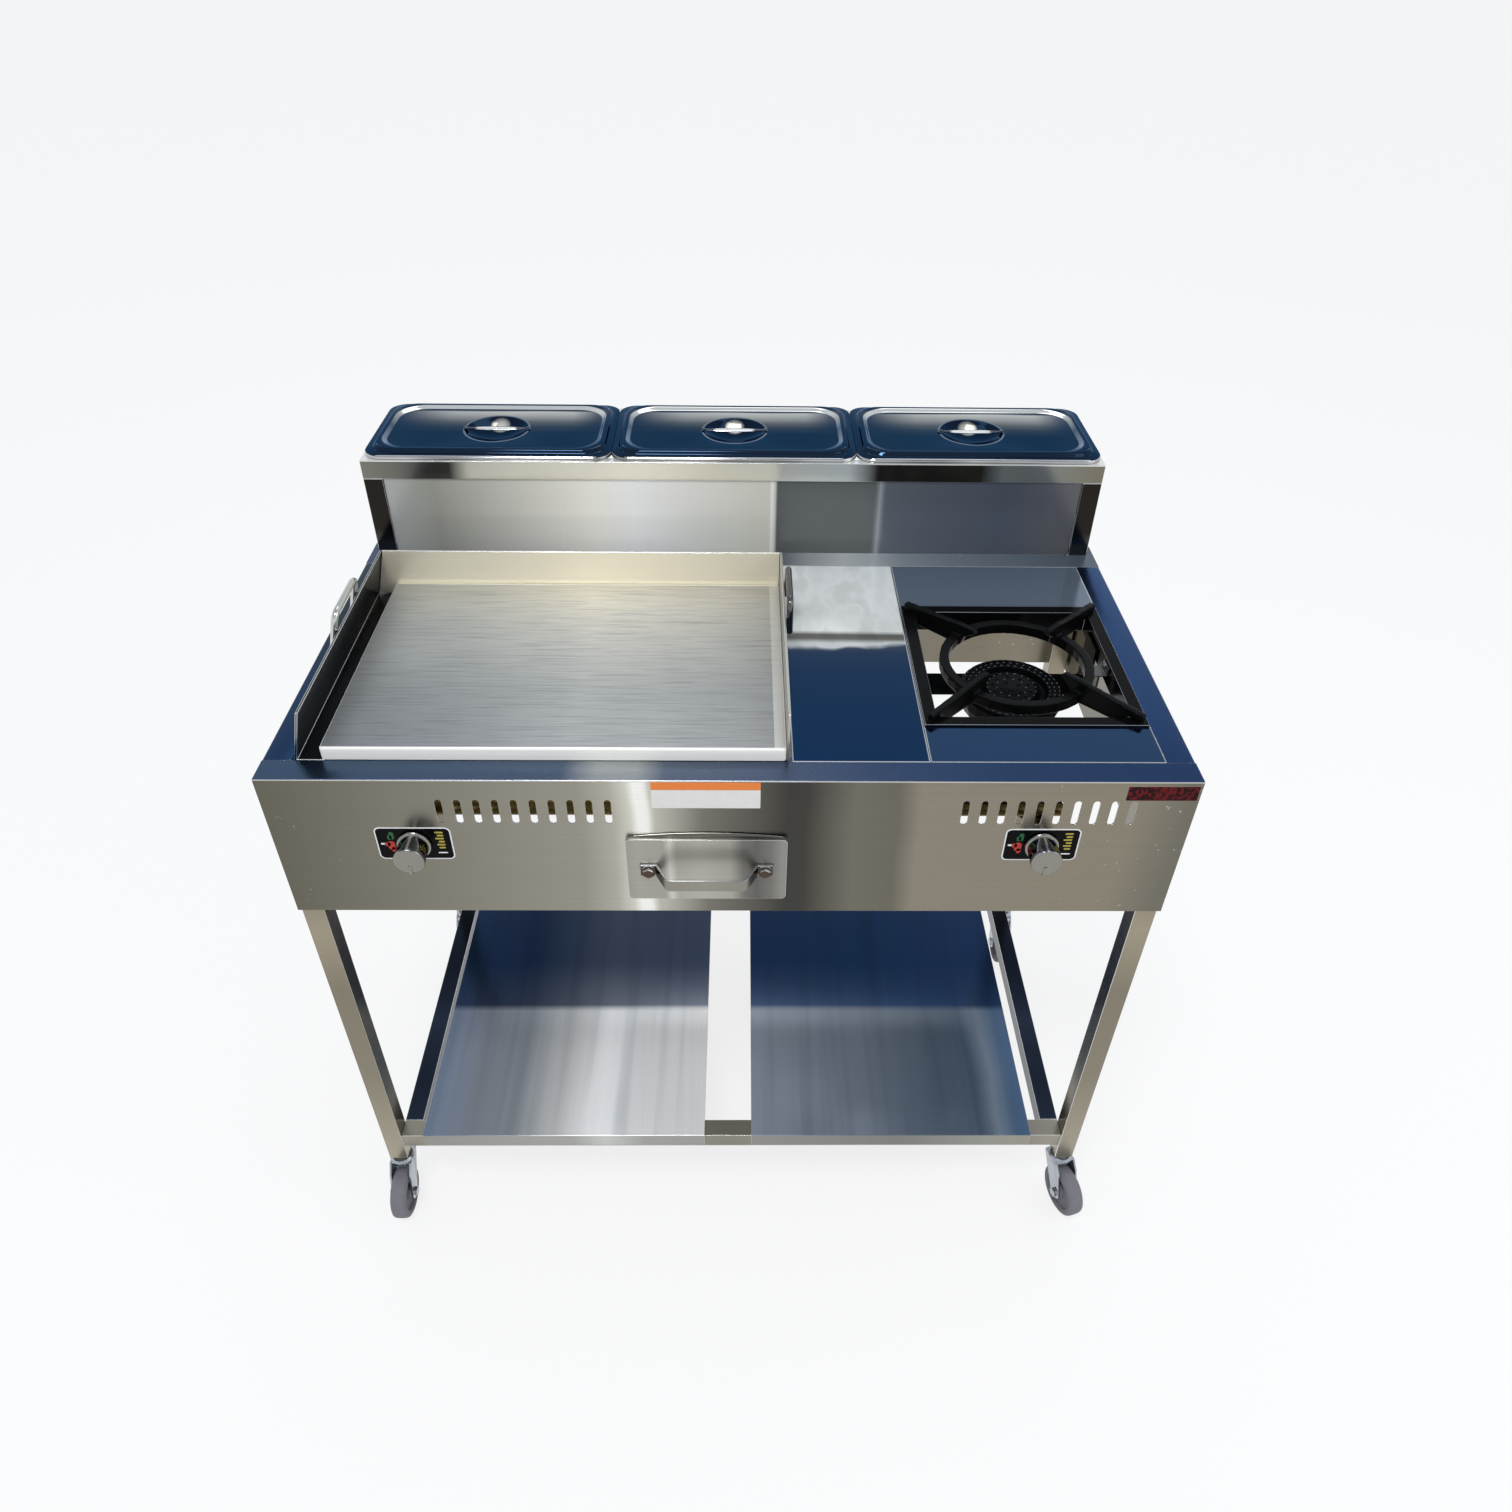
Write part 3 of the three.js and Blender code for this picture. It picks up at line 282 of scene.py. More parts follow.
def copied(node):
    """A merged copy of a CAD node's mesh, with its flat faces joined up."""
    work = bmesh.new()
    work.from_mesh(frame["nodes"][node].data)
    bmesh.ops.remove_doubles(work, verts=work.verts, dist=2e-6)
    bmesh.ops.dissolve_limit(work, angle_limit=math.radians(0.6), verts=work.verts, edges=work.edges)
    return work


def softened(node, material, bevel=0.3 * MM, segments=2, crease=32, edge=None):
    """A CAD node redrawn with rounded edges."""
    work = copied(node)
    return piece(f"{node}_finished", work, body_of(node), material, crease, (node,), bevel, segments,
                 edge=edge)


def cast(node, material, voxel, passes):
    """A CAD node redrawn as a casting: edges and inner corners run into each other."""
    work = copied(node)
    item = piece(f"{node}_cast", work, body_of(node), material, 180, (node,))
    remesh = item.modifiers.new("skin", "REMESH")
    remesh.mode = "VOXEL"
    remesh.voxel_size = voxel
    remesh.use_smooth_shade = True
    smooth = item.modifiers.new("flow", "SMOOTH")
    smooth.iterations = passes
    smooth.factor = 0.5
    return item


def round_loop(work, half_x, half_y, radius, z, steps=8):
    """The edges of a flat rectangle with round corners."""
    before = set(work.faces)
    made = bmesh.ops.create_grid(work, x_segments=1, y_segments=1, size=1)["verts"]
    bmesh.ops.scale(work, verts=made, vec=(half_x, half_y, 1))
    bmesh.ops.translate(work, verts=made, vec=(0, 0, z))
    if radius > 0:
        rounded(work, made, radius, steps, "VERTICES")
    made = [face for face in work.faces if face not in before]
    face = max(made, key=lambda item: len(item.verts))
    edges = list(face.edges)
    bmesh.ops.delete(work, geom=made, context="FACES_ONLY")
    return edges


def circle_loop(work, radius, z, segments=48):
    made = bmesh.ops.create_circle(work, cap_ends=False, radius=radius, segments=segments)["verts"]
    bmesh.ops.translate(work, verts=made, vec=(0, 0, z))
    return list({edge for vert in made for edge in vert.link_edges})


def stack(work, loops, cap_last=True, cap_first=False):
    """Skins one loop to the next."""
    for first, second in zip(loops, loops[1:]):
        bmesh.ops.bridge_loops(work, edges=first + second)
    if cap_last:
        bmesh.ops.edgeloop_fill(work, edges=loops[-1])
    if cap_first:
        bmesh.ops.edgeloop_fill(work, edges=loops[0])


def spun(work, profile, steps):
    """Spins (radius, height) points, in millimetres, about Z and returns the new vertices."""
    before = set(work.verts)
    line = [work.verts.new((radius * MM, 0, z * MM)) for radius, z in profile]
    edges = [work.edges.new(pair) for pair in zip(line, line[1:])]
    bmesh.ops.spin(work, geom=line + edges, cent=(0, 0, 0), axis=(0, 0, 1), angle=2 * math.pi, steps=steps,
                   use_merge=True, use_duplicate=False)
    made = [vert for vert in work.verts if vert not in before]
    bmesh.ops.remove_doubles(work, verts=made, dist=1e-7)
    return [vert for vert in work.verts if vert not in before]


def block(work, lowest, highest):
    """A box from its corners."""
    made = bmesh.ops.create_cube(work, size=1)["verts"]
    lowest, highest = Vector(lowest), Vector(highest)
    bmesh.ops.scale(work, verts=made, vec=highest - lowest)
    bmesh.ops.translate(work, verts=made, vec=(lowest + highest) / 2)
    return made


def rounded(work, geometry, offset, segments, affect="EDGES"):
    """Rounds edges or corners and returns the new vertices."""
    return bmesh.ops.bevel(work, geom=geometry, offset=offset, offset_type="OFFSET", affect=affect,
                           segments=segments, profile=0.5, material=-1)["verts"]


def turned(work, angle, axis, verts=None):
    """Turns vertices about the origin by degrees."""
    matrix = Matrix.Rotation(math.radians(angle), 3, axis)
    bmesh.ops.rotate(work, verts=verts or work.verts, matrix=matrix)


def face_front(work, x, y, z, verts=None):
    """Turns what was drawn in XY to face the front, and moves it."""
    turned(work, 90, "X", verts)
    move_all(work, (x, y, z), verts)


def tube_along(work, points, radius, sides=16):
    """A round rod through points, with capped ends."""
    loops = []
    for i, point in enumerate(points):
        ahead = points[min(i + 1, len(points) - 1)]
        behind = points[max(i - 1, 0)]
        made = bmesh.ops.create_circle(work, cap_ends=False, radius=radius, segments=sides)["verts"]
        along = (ahead - behind).normalized()
        side = Vector((1, 0, 0)) if abs(along.x) < 0.7 else Vector((0, 1, 0))
        up = along.cross(side).normalized()
        turn = Matrix((up.cross(along), up, along)).transposed().to_4x4()
        bmesh.ops.transform(work, matrix=Matrix.Translation(point) @ turn, verts=made)
        loops.append(list({edge for vert in made for edge in vert.link_edges}))
    stack(work, loops, True, True)


def bend(points, radius, steps=8):
    """Points with each inner corner replaced by an arc-like curve."""
    result = [points[0]]
    for before, corner, after in zip(points, points[1:], points[2:]):
        start = corner + (before - corner).normalized() * radius
        end = corner + (after - corner).normalized() * radius
        for k in range(steps + 1):
            t = k / steps
            result.append(start * (1 - t) ** 2 + corner * 2 * t * (1 - t) + end * t ** 2)
    result.append(points[-1])
    return result


def smooth_step(t):
    return t * t * (3 - 2 * t)


def move_all(work, vector, verts=None):
    bmesh.ops.translate(work, verts=verts or work.verts, vec=vector)


# Finishes

CORNERS = ("front_left", "front_right", "rear_left", "rear_right")
FRONT_RIGHT_TURN = 18
PAN_WALL, LID_WALL = 0.9 * MM, 0.75 * MM
SEAM = 1.3 * MM
GRAIN_X, GRAIN_Y, GRAIN_Z = (3, 900, 900), (900, 3, 900), (900, 900, 3)
# The light colour of painted highlights on folds, seams, edges and up-facing faces.
BRIGHT = (0.82, 0.82, 0.80)


def steel(paint, roughness, metallic=1.0, grain=GRAIN_X, depth=0.2, contrast=0.3, **constants):
    """Sheet steel: paint gives its tones, and a fine grain darkens and roughens it."""
    def fill(tree):
        tones = paint(tree)
        fine = tree.noise(tree.place(grain), 1.0, 3.0, 0.6)
        shade = tree.mix(tree.spread(fine, 0.0, contrast), tones, (0.45, 0.45, 0.45), "MULTIPLY")
        cloud = tree.noise(tree.place((9, 9, 9)), 1.0, 3.0)
        rough = tree.spread(cloud, roughness * 0.8, roughness * 1.25)
        share = metallic(tree) if callable(metallic) else metallic
        return tree.surface(shade, rough, share, tree.bump(fine, depth, 0.0002), **constants)
    return fill


def toned(node, axis, stops, drift=0.0):
    """Tones over a node, and nothing else."""
    return lambda tree: tree.over(node, axis, stops, drift)


def streaked(colour, axis, reach, contrast):
    """Broad light and dark reflections across a sheet."""
    def paint(tree):
        scale = tuple(reach if name == axis else 0.0 for name in "XYZ")
        broad = tree.noise(tree.place(scale, (0.37, 0.11, 0.23)), 1.0, 2.0, 0.45)
        return tree.ramp(broad, [
            (0.30, scaled(colour, 1 - contrast)), (0.47, colour[:3]),
            (0.56, scaled(colour, 1 + contrast)), (0.70, scaled(colour, 1 - contrast * 0.4)),
        ])
    return paint


def apron_paint(node, axis, face_stops, rim_stops):
    """A folded apron: painted warm reflections down its face, a painted blue sky reflection on its rim, and a painted
    highlight as a light line at the fold.
    """
    def paint(tree):
        face = tree.over(node, axis, face_stops, 0.02)
        specks = tree.noise(tree.place((170, 170, 170)), 1.0, 1.0)
        dried = tree.ramp(specks, [(0.0, 0), (0.745, 0), (0.76, 1), (1.0, 1)])
        ends = tree.over(node, axis, [
            (0.0, 0.3), (0.06, 0.3), (0.09, 0), (0.8, 0), (0.9, 0.4), (1.0, 0.4),
        ])
        face = tree.mix(tree.count("MULTIPLY", dried, ends), face, (0.75, 0.73, 0.66))
        # Painted highlight: a light line along the fold.
        fold = tree.band("Z", high(node).z - 1.5 * MM, high(node).z - 0.2 * MM)
        face = tree.mix(tree.count("MULTIPLY", fold, 0.75), face, BRIGHT)
        rim = tree.over(node, axis, rim_stops, 0.02)
        return tree.mix(tree.facing("Z", 0.6, 0.9), face, rim)
    return paint


def deck_paint(node, axis, stops):
    """A deck sheet with painted reflection tones along one axis and a painted highlight as a light line round its
    edges.
    """
    def paint(tree):
        tones = tree.over(node, axis, stops, 0.02)
        patch_noise = tree.noise(tree.place((30, 30, 30)), 1.0, 2.0)
        line_share = tree.count("MULTIPLY", tree.border(node, SEAM), tree.spread(patch_noise, 0.35, 0.85))
        return tree.mix(line_share, tones, BRIGHT)
    return paint


def plate_paint(node):
    """The ground plate in painted reflections: light and warm at the rear middle, cooler at the front and sides, with a
    painted highlight on its bright nose.
    """
    def paint(tree):
        highest = high(node)
        along = tree.over(node, "Y", [
            (0.0, (0.42, 0.43, 0.43)), (0.37, (0.48, 0.49, 0.46)), (0.9, (0.94, 0.89, 0.76)),
            (1.0, (0.95, 0.9, 0.78)),
        ], 0.05)
        across = tree.over(node, "X", [
            (0.0, (0.5, 0.53, 0.56)), (0.27, (0.64, 0.67, 0.7)), (0.58, 1), (1.0, (0.62, 0.63, 0.64)),
        ], 0.05)
        shade = tree.mix(1.0, along, across, "MULTIPLY")
        lines = tree.noise(tree.place((11, 430, 1)), 1.0, 2.0, 0.7)
        ruled = tree.ramp(lines, [(0.3, (0.52, 0.53, 0.55)), (0.52, 1), (0.68, 0.8)])
        shade = tree.mix(0.9, shade, ruled, "MULTIPLY")
        marks = tree.noise(tree.place((16, 620, 3), (0.2, 0.1, 0.0)), 1.0, 2.0, 0.5)
        scratch = tree.ramp(marks, [(0.0, 0), (0.7, 0), (0.74, 1), (1.0, 1)])
        shade = tree.mix(tree.spread(scratch, 0.0, 0.35), shade, (0.16, 0.16, 0.17))
        patch_noise = tree.noise(tree.place((7, 5, 1)), 1.0, 3.0)
        shade = tree.mix(tree.spread(patch_noise, 0.0, 0.35), shade, (0.55, 0.55, 0.54))
        # Painted highlights: a light band near the right side, a light strip along the rear edge and light rounded
        # edges.
        side_light = tree.band("X", highest.x - 13 * MM, highest.x - 2 * MM)
        shade = tree.mix(tree.count("MULTIPLY", side_light, 0.55), shade, (0.86, 0.84, 0.77))
        shade = tree.mix(tree.band("Y", highest.y - 5 * MM, highest.y + MM), shade, (1.0, 0.98, 0.90))
        return tree.mix(tree.facing("Z", 0.97, 0.80), shade, (1.0, 0.99, 0.93))
    return paint


def shelf_paint(node, front, rear, lip):
    """A lower shelf: painted shade, deep blue, behind a painted shadow line, and painted light in front of it and on
    its lips, with faint streaks over the flat.
    """
    def paint(tree):
        light = tree.over(node, "X", front, 0.03)
        dark = tree.over(node, "X", rear, 0.03)
        # Painted shadow of the table: dark behind SHADOW_LINE, lit in front of it, and a little lifted just behind the
        # line.
        behind = tree.share(tree.spot("Y"), SHADOW_LINE - SHADOW_BLUR, SHADOW_LINE + SHADOW_BLUR)
        near = tree.tones("Y", SHADOW_LINE, SHADOW_LINE + 0.09, [(0.0, 0.12), (1.0, 0)])
        dark = tree.mix(near, dark, light)
        flat = tree.mix(behind, light, dark)
        streaks = tree.noise(tree.place((48, 1.2, 1)), 1.0, 2.0, 0.6)
        flat = tree.mix(1.0, flat, tree.ramp(streaks, [(0.28, (0.8, 0.81, 0.83)), (0.5, 0.96), (0.66, 1)]), "MULTIPLY")
        lips = tree.over(node, "X", lip, 0.01)
        return tree.mix(tree.facing("Z", 0.9, 0.5), flat, lips)
    return paint


def pressed_paint(node):
    """A pressed lid in painted reflections: a navy border and field, bright inner slopes, a painted highlight ring
    round the dish, a painted glint in the dish and a painted highlight along the front edge.
    """
    def paint(tree):
        front, middle = low(node).y, centre(node)
        field = tree.over(node, "Y", [
            (0.0, (0.02, 0.034, 0.06)), (0.3, (0.008, 0.022, 0.048)), (0.46, (0.011, 0.026, 0.05)),
            (0.57, (0.05, 0.062, 0.075)), (0.66, (0.17, 0.172, 0.16)), (0.865, (0.8, 0.77, 0.68)),
            (0.885, (0.14, 0.15, 0.155)), (0.91, (0.016, 0.028, 0.055)), (1.0, (0.014, 0.026, 0.05)),
        ], 0.012)
        ends = tree.over(node, "X", [
            (0.0, 0), (0.1, 0.1), (0.3, 0.8), (0.55, 1), (0.82, 0.9), (0.92, 0.2), (1.0, 0),
        ], 0.01)
        field = tree.mix(ends, (0.016, 0.031, 0.058), field)
        inside = tree.count("SUBTRACT", 1.0, tree.border(node, 14.2 * MM))
        slope = tree.count("MULTIPLY", tree.facing("Z", 0.985, 0.92), inside)
        front_half = tree.share(tree.spot("Y"), middle.y, middle.y - 20 * MM)
        away = tree.count("MULTIPLY", tree.facing("Y", -0.1, -0.3), front_half)
        slope = tree.count("MULTIPLY", slope, tree.count("SUBTRACT", 1.0, away))
        slopes = tree.over(node, "Y", [
            (0.0, (0.4, 0.46, 0.53)), (0.16, (0.44, 0.5, 0.56)), (0.26, (0.26, 0.31, 0.37)),
            (0.55, (0.1, 0.13, 0.17)), (0.74, (0.4, 0.42, 0.42)), (0.84, (0.95, 0.94, 0.88)),
            (1.0, (0.95, 0.94, 0.88)),
        ], 0.01)
        pressed = tree.mix(slope, field, slopes)
        dish = tree.around(middle.x, middle.y, 42.6 * MM, 43.2 * MM)
        ring = tree.count("SUBTRACT", tree.around(middle.x, middle.y, 45.0 * MM, 45.6 * MM), dish)
        glint = tree.around(middle.x, middle.y + 27 * MM, 3 * MM, 14 * MM)
        hollow = tree.mix(glint, (0.010, 0.022, 0.045), (0.95, 0.90, 0.76))
        pressed = tree.mix(dish, pressed, hollow)
        pressed = tree.mix(ring, pressed, (0.24, 0.28, 0.32))
        return tree.mix(tree.band("Y", front - MM, front + 0.9 * MM), pressed, BRIGHT)
    return paint


def grip_paint(node):
    """A lid's strap in painted reflections: a painted highlight over the dish and dark towards its ends."""
    def paint(tree):
        middle = centre(node)
        return tree.tones("X", middle.x - 45 * MM, middle.x + 45 * MM, [
            (0.0, (0.03, 0.045, 0.07)), (0.17, (0.05, 0.065, 0.09)), (0.22, (0.85, 0.85, 0.82)),
            (0.5, (0.98, 0.98, 0.95)), (0.76, (0.88, 0.88, 0.85)), (0.81, (0.07, 0.085, 0.11)),
            (1.0, (0.03, 0.045, 0.07)),
        ])
    return paint


def framed_paint(node):
    """The pan shelf's frame in painted reflections: warm and light over most of its front, dark towards its right, with
    a painted highlight along its top edge.
    """
    def paint(tree):
        face = tree.over(node, "X", [
            (0.0, (0.2, 0.2, 0.16)), (0.05, (0.15, 0.15, 0.13)), (0.09, (0.06, 0.06, 0.055)),
            (0.125, (0.07, 0.07, 0.06)), (0.15, (0.8, 0.77, 0.66)), (0.38, (0.98, 0.94, 0.82)),
            (0.485, (0.86, 0.82, 0.69)), (0.66, (0.82, 0.85, 0.8)), (0.7, 0.02), (0.84, (0.025, 0.025, 0.022)),
            (0.87, (0.25, 0.28, 0.29)), (1.0, (0.19, 0.175, 0.125)),
        ], 0.012)
        return tree.mix(tree.band("Z", high(node).z - 1.4 * MM, high(node).z + MM), face, BRIGHT)
    return paint


def knob_paint(node):
    """Painted reflections on chrome: dark mirrored sides with a painted glint as a light line along the top, a light
    skirt and a soft grey cap.
    """
    def paint(tree):
        back, middle = high(node).y, centre(node)
        skirt = tree.count("GREATER_THAN", tree.spot("Y"), back - 4.2 * MM)
        # Painted glint: a light line along the upper middle of the drum.
        line = tree.band("X", middle.x - 1.6 * MM, middle.x + 1.1 * MM)
        upper = tree.count("GREATER_THAN", tree.spot("Z"), middle.z)
        sheen = tree.tones("X", middle.x - 17 * MM, middle.x + 17 * MM, [
            (0.0, (0.1, 0.1, 0.11)), (0.2, (0.45, 0.46, 0.49)), (0.34, (0.16, 0.17, 0.19)),
            (0.62, (0.1, 0.105, 0.12)), (0.8, (0.38, 0.38, 0.39)), (1.0, (0.08, 0.08, 0.085)),
        ])
        side = tree.mix(tree.count("MULTIPLY", line, upper), sheen, (0.95, 0.95, 0.95))
        side = tree.mix(skirt, side, (0.66, 0.67, 0.70))
        return tree.mix(tree.facing("Y", -0.5, -0.9), side, (0.27, 0.266, 0.235))
    return paint


def printed(colour, roughness, shine=0.3):
    """Printed film or enamel paint with a faint unevenness."""
    def fill(tree):
        cloud = tree.noise(tree.place((120, 120, 120)), 1.0, 4.0, 0.6)
        shade = tree.mix(tree.spread(cloud, 0.0, 0.35), colour[:3], scaled(colour, 0.6))
        rough = tree.spread(cloud, roughness * 0.8, roughness * 1.3)
        return tree.surface(shade, rough, 0.0, tree.bump(cloud, 0.1, 0.0002), Specular_IOR_Level=shine)
    return fill


def mottled(dark, light, roughness):
    """A printed film with short blurred dashes in a lighter tone."""
    def fill(tree):
        dashes = tree.noise(tree.place((260, 20, 190)), 1.0, 2.0, 0.6)
        shade = tree.ramp(dashes, [(0.0, dark), (0.47, dark), (0.56, light), (1.0, light)])
        return tree.surface(shade, roughness, 0.0, tree.bump(dashes, 0.05, 0.0002), Specular_IOR_Level=0.08)
    return fill


def cast_black(colour, roughness, grit=0.3, shine=0.2):
    """Black enamelled iron with a fine cast texture."""
    def fill(tree):
        sand = tree.noise(tree.place((700, 700, 700)), 1.0, 4.0, 0.6)
        cloud = tree.noise(tree.place((24, 24, 24)), 1.0, 3.0)
        shade = tree.mix(tree.spread(cloud, 0.0, 1.0), colour[:3], scaled(colour, 2.2))
        rough = tree.spread(cloud, roughness * 0.7, roughness * 1.5)
        return tree.surface(shade, rough, 0.0, tree.bump(sand, grit, 0.0004), Specular_IOR_Level=shine)
    return fill


def plated(colour, roughness, spots=0.3):
    """Plated or turned metal with a cloudy lustre."""
    def fill(tree):
        cloud = tree.noise(tree.place((60, 60, 60)), 1.0, 4.0)
        shade = tree.mix(tree.spread(cloud, 0.0, spots), colour[:3], scaled(colour, 0.45))
        rough = tree.spread(cloud, roughness * 0.7, roughness * 1.4)
        return tree.surface(shade, rough, 1.0, tree.bump(cloud, 0.08, 0.0003))
    return fill


def moulded_rubber(colour, roughness):
    """Grey tyre rubber with scuffs and dust."""
    def fill(tree):
        scuff = tree.noise(tree.place((90, 90, 90)), 1.0, 5.0, 0.65)
        shade = tree.mix(tree.spread(scuff, 0.0, 0.8), colour[:3], scaled(colour, 1.7))
        rough = tree.spread(scuff, roughness, min(1.0, roughness * 1.3))
        return tree.surface(shade, rough, 0.0, tree.bump(scuff, 0.3, 0.0004))
    return fill


class CartFinish(bpy.types.PropertyGroup):
    """Colours of the plain sheet and the castings."""

    apron: bpy.props.FloatVectorProperty(
        name="Apron steel", description="Satin folded sheet", subtype="COLOR", size=3,
        default=(0.24, 0.225, 0.18), min=0, max=1)
    iron: bpy.props.FloatVectorProperty(
        name="Cast iron", description="Black burner castings", subtype="COLOR", size=3,
        default=(0.005, 0.0055, 0.006), min=0, max=1)


class CartSizes(bpy.types.PropertyGroup):
    """Sizes of the details that the frame does not hold."""

    sheet_edge: bpy.props.FloatProperty(
        name="Sheet edge", description="Rounding of a cut sheet edge", unit="LENGTH", default=0.00035, min=0)
    plate_edge: bpy.props.FloatProperty(
        name="Griddle edge", description="Rounding of the griddle plate's upper edges", unit="LENGTH",
        default=0.0035, min=0)
    control_plate: bpy.props.FloatVectorProperty(
        name="Control plate", description="Width and height of the plate behind a knob", subtype="XYZ",
        size=2, default=(0.083, 0.047), min=0)
    bolt_head: bpy.props.FloatProperty(
        name="Bolt head", description="Across the corners of a tray handle bolt", unit="LENGTH",
        default=0.0135, min=0)


class CartStage(bpy.types.PropertyGroup):
    """The camera and the light."""

    lens: bpy.props.FloatProperty(
        name="Lens", description="Focal length in millimetres on a 36 mm sensor", default=26.55, min=1)
    level: bpy.props.FloatProperty(
        name="Surroundings", description="Strength of the pale surroundings", default=1.0, min=0)


# Apron tones: painted reflections and highlights down the faces, and a painted blue sky reflection with light bands
# along the rims.
FRONT_FACE = [
    (0.0, (0.15, 0.14, 0.11)), (0.345, (0.34, 0.325, 0.27)), (0.38, (0.47, 0.455, 0.39)),
    (0.398, (0.68, 0.67, 0.6)), (0.406, (0.98, 0.98, 0.93)), (0.417, (0.98, 0.98, 0.93)),
    (0.424, (0.56, 0.55, 0.48)), (0.48, (0.21, 0.2, 0.17)), (0.57, (0.062, 0.06, 0.054)),
    (0.59, (0.064, 0.062, 0.056)), (0.645, (0.19, 0.18, 0.145)), (0.69, (0.17, 0.16, 0.13)),
    (0.714, (0.29, 0.26, 0.21)), (0.94, (0.28, 0.25, 0.195)), (1.0, (0.19, 0.18, 0.145)),
]
FRONT_RIM = [
    (0.0, (0.065, 0.115, 0.2)), (0.33, (0.1, 0.14, 0.21)), (0.365, (0.39, 0.41, 0.42)), (0.41, (0.36, 0.38, 0.39)),
    (0.44, (0.12, 0.15, 0.21)), (0.68, (0.044, 0.075, 0.152)), (0.8, (0.027, 0.06, 0.138)),
    (1.0, (0.023, 0.06, 0.156)),
]
END_FACE = [
    (0.0, (0.22, 0.205, 0.165)), (0.3, (0.3, 0.28, 0.23)), (0.5, (0.17, 0.16, 0.135)), (0.8, (0.27, 0.25, 0.205)),
    (1.0, (0.2, 0.19, 0.155)),
]
REAR_RIM = [
    (0.0, (0.03, 0.06, 0.13)), (0.58, (0.15, 0.18, 0.21)), (0.61, (0.38, 0.4, 0.415)), (0.66, (0.6, 0.63, 0.64)),
    (0.7, (0.5, 0.54, 0.56)), (0.74, (0.3, 0.34, 0.37)), (0.8, (0.21, 0.255, 0.295)), (1.0, (0.08, 0.11, 0.15)),
]
LEFT_RIM = [
    (0.0, (0.023, 0.06, 0.14)), (0.35, (0.018, 0.05, 0.12)), (0.6, (0.02, 0.04, 0.06)), (1.0, (0.04, 0.06, 0.085)),
]
RIGHT_RIM = [(0.0, (0.023, 0.06, 0.156)), (1.0, (0.04, 0.1, 0.25))]
# Backsplash tones: painted reflections, light on the left and dark on the right of a sharp step, with two thin light
# lines.
SPLASH = [
    (0.0, (0.4, 0.41, 0.39)), (0.07, (0.36, 0.36, 0.32)), (0.3, (1.0, 0.98, 0.9)), (0.352, 1.0),
    (0.552, (0.68, 0.67, 0.58)), (0.554, (0.9, 0.9, 0.86)), (0.558, (0.9, 0.9, 0.86)), (0.56, (0.11, 0.118, 0.118)),
    (0.706, (0.1, 0.11, 0.113)), (0.709, (0.3, 0.32, 0.34)), (0.713, (0.3, 0.32, 0.34)),
    (0.716, (0.11, 0.125, 0.15)), (0.89, (0.075, 0.09, 0.12)), (1.0, (0.1, 0.1, 0.105)),
]
# Lower shelf tones: painted light and reflections in front of the shadow line and on the lips, painted shade with a
# blue sky reflection behind it.
SHELF_LEFT_FRONT = [
    (0.0, (0.17, 0.23, 0.33)), (0.2, (0.23, 0.25, 0.29)), (0.36, (0.32, 0.345, 0.375)), (0.55, (0.68, 0.68, 0.67)),
    (0.64, 1), (0.71, 1), (0.75, (0.85, 0.86, 0.85)), (1.0, (0.84, 0.84, 0.82)),
]
LEFT_LIP = [
    (0.0, (0.28, 0.28, 0.25)), (0.55, (0.38, 0.38, 0.34)), (0.66, (0.6, 0.6, 0.56)), (0.8, (0.36, 0.36, 0.33)),
    (1.0, (0.33, 0.33, 0.3)),
]
RIGHT_LIP = [
    (0.0, (0.27, 0.26, 0.24)), (0.55, (0.19, 0.188, 0.175)), (0.85, (0.28, 0.285, 0.245)),
    (1.0, (0.32, 0.29, 0.23)),
]
SHELF_LEFT_REAR = [
    (0.0, (0.01, 0.034, 0.09)), (0.3, (0.004, 0.018, 0.058)), (0.45, (0.022, 0.04, 0.078)),
    (0.6, (0.05, 0.066, 0.105)), (1.0, (0.048, 0.066, 0.11)),
]
SHELF_RIGHT_FRONT = [
    (0.0, (0.28, 0.32, 0.38)), (0.75, (0.085, 0.115, 0.16)), (0.86, (0.075, 0.11, 0.16)),
    (0.93, (0.17, 0.22, 0.28)), (1.0, (0.06, 0.12, 0.22)),
]
SHELF_RIGHT_REAR = [(0.0, (0.008, 0.028, 0.08)), (0.5, (0.005, 0.03, 0.085)), (1.0, (0.01, 0.036, 0.105))]
# Tray front tones: painted reflections, with a light band left of the middle and darker towards the right.
TRAY_FACE = [
    (0.0, (0.36, 0.345, 0.3)), (0.1, (0.42, 0.4, 0.35)), (0.26, (0.4, 0.385, 0.34)), (0.3, (0.68, 0.67, 0.61)),
    (0.345, (0.46, 0.44, 0.39)), (0.5, (0.5, 0.48, 0.42)), (0.68, (0.43, 0.415, 0.36)), (0.76, (0.2, 0.195, 0.18)),
    (0.84, (0.14, 0.138, 0.128)), (0.93, (0.2, 0.196, 0.18)), (1.0, (0.3, 0.295, 0.27)),
]
SHADOW_LINE, SHADOW_BLUR = -0.081, 0.006
REAR_LIGHT = -0.052


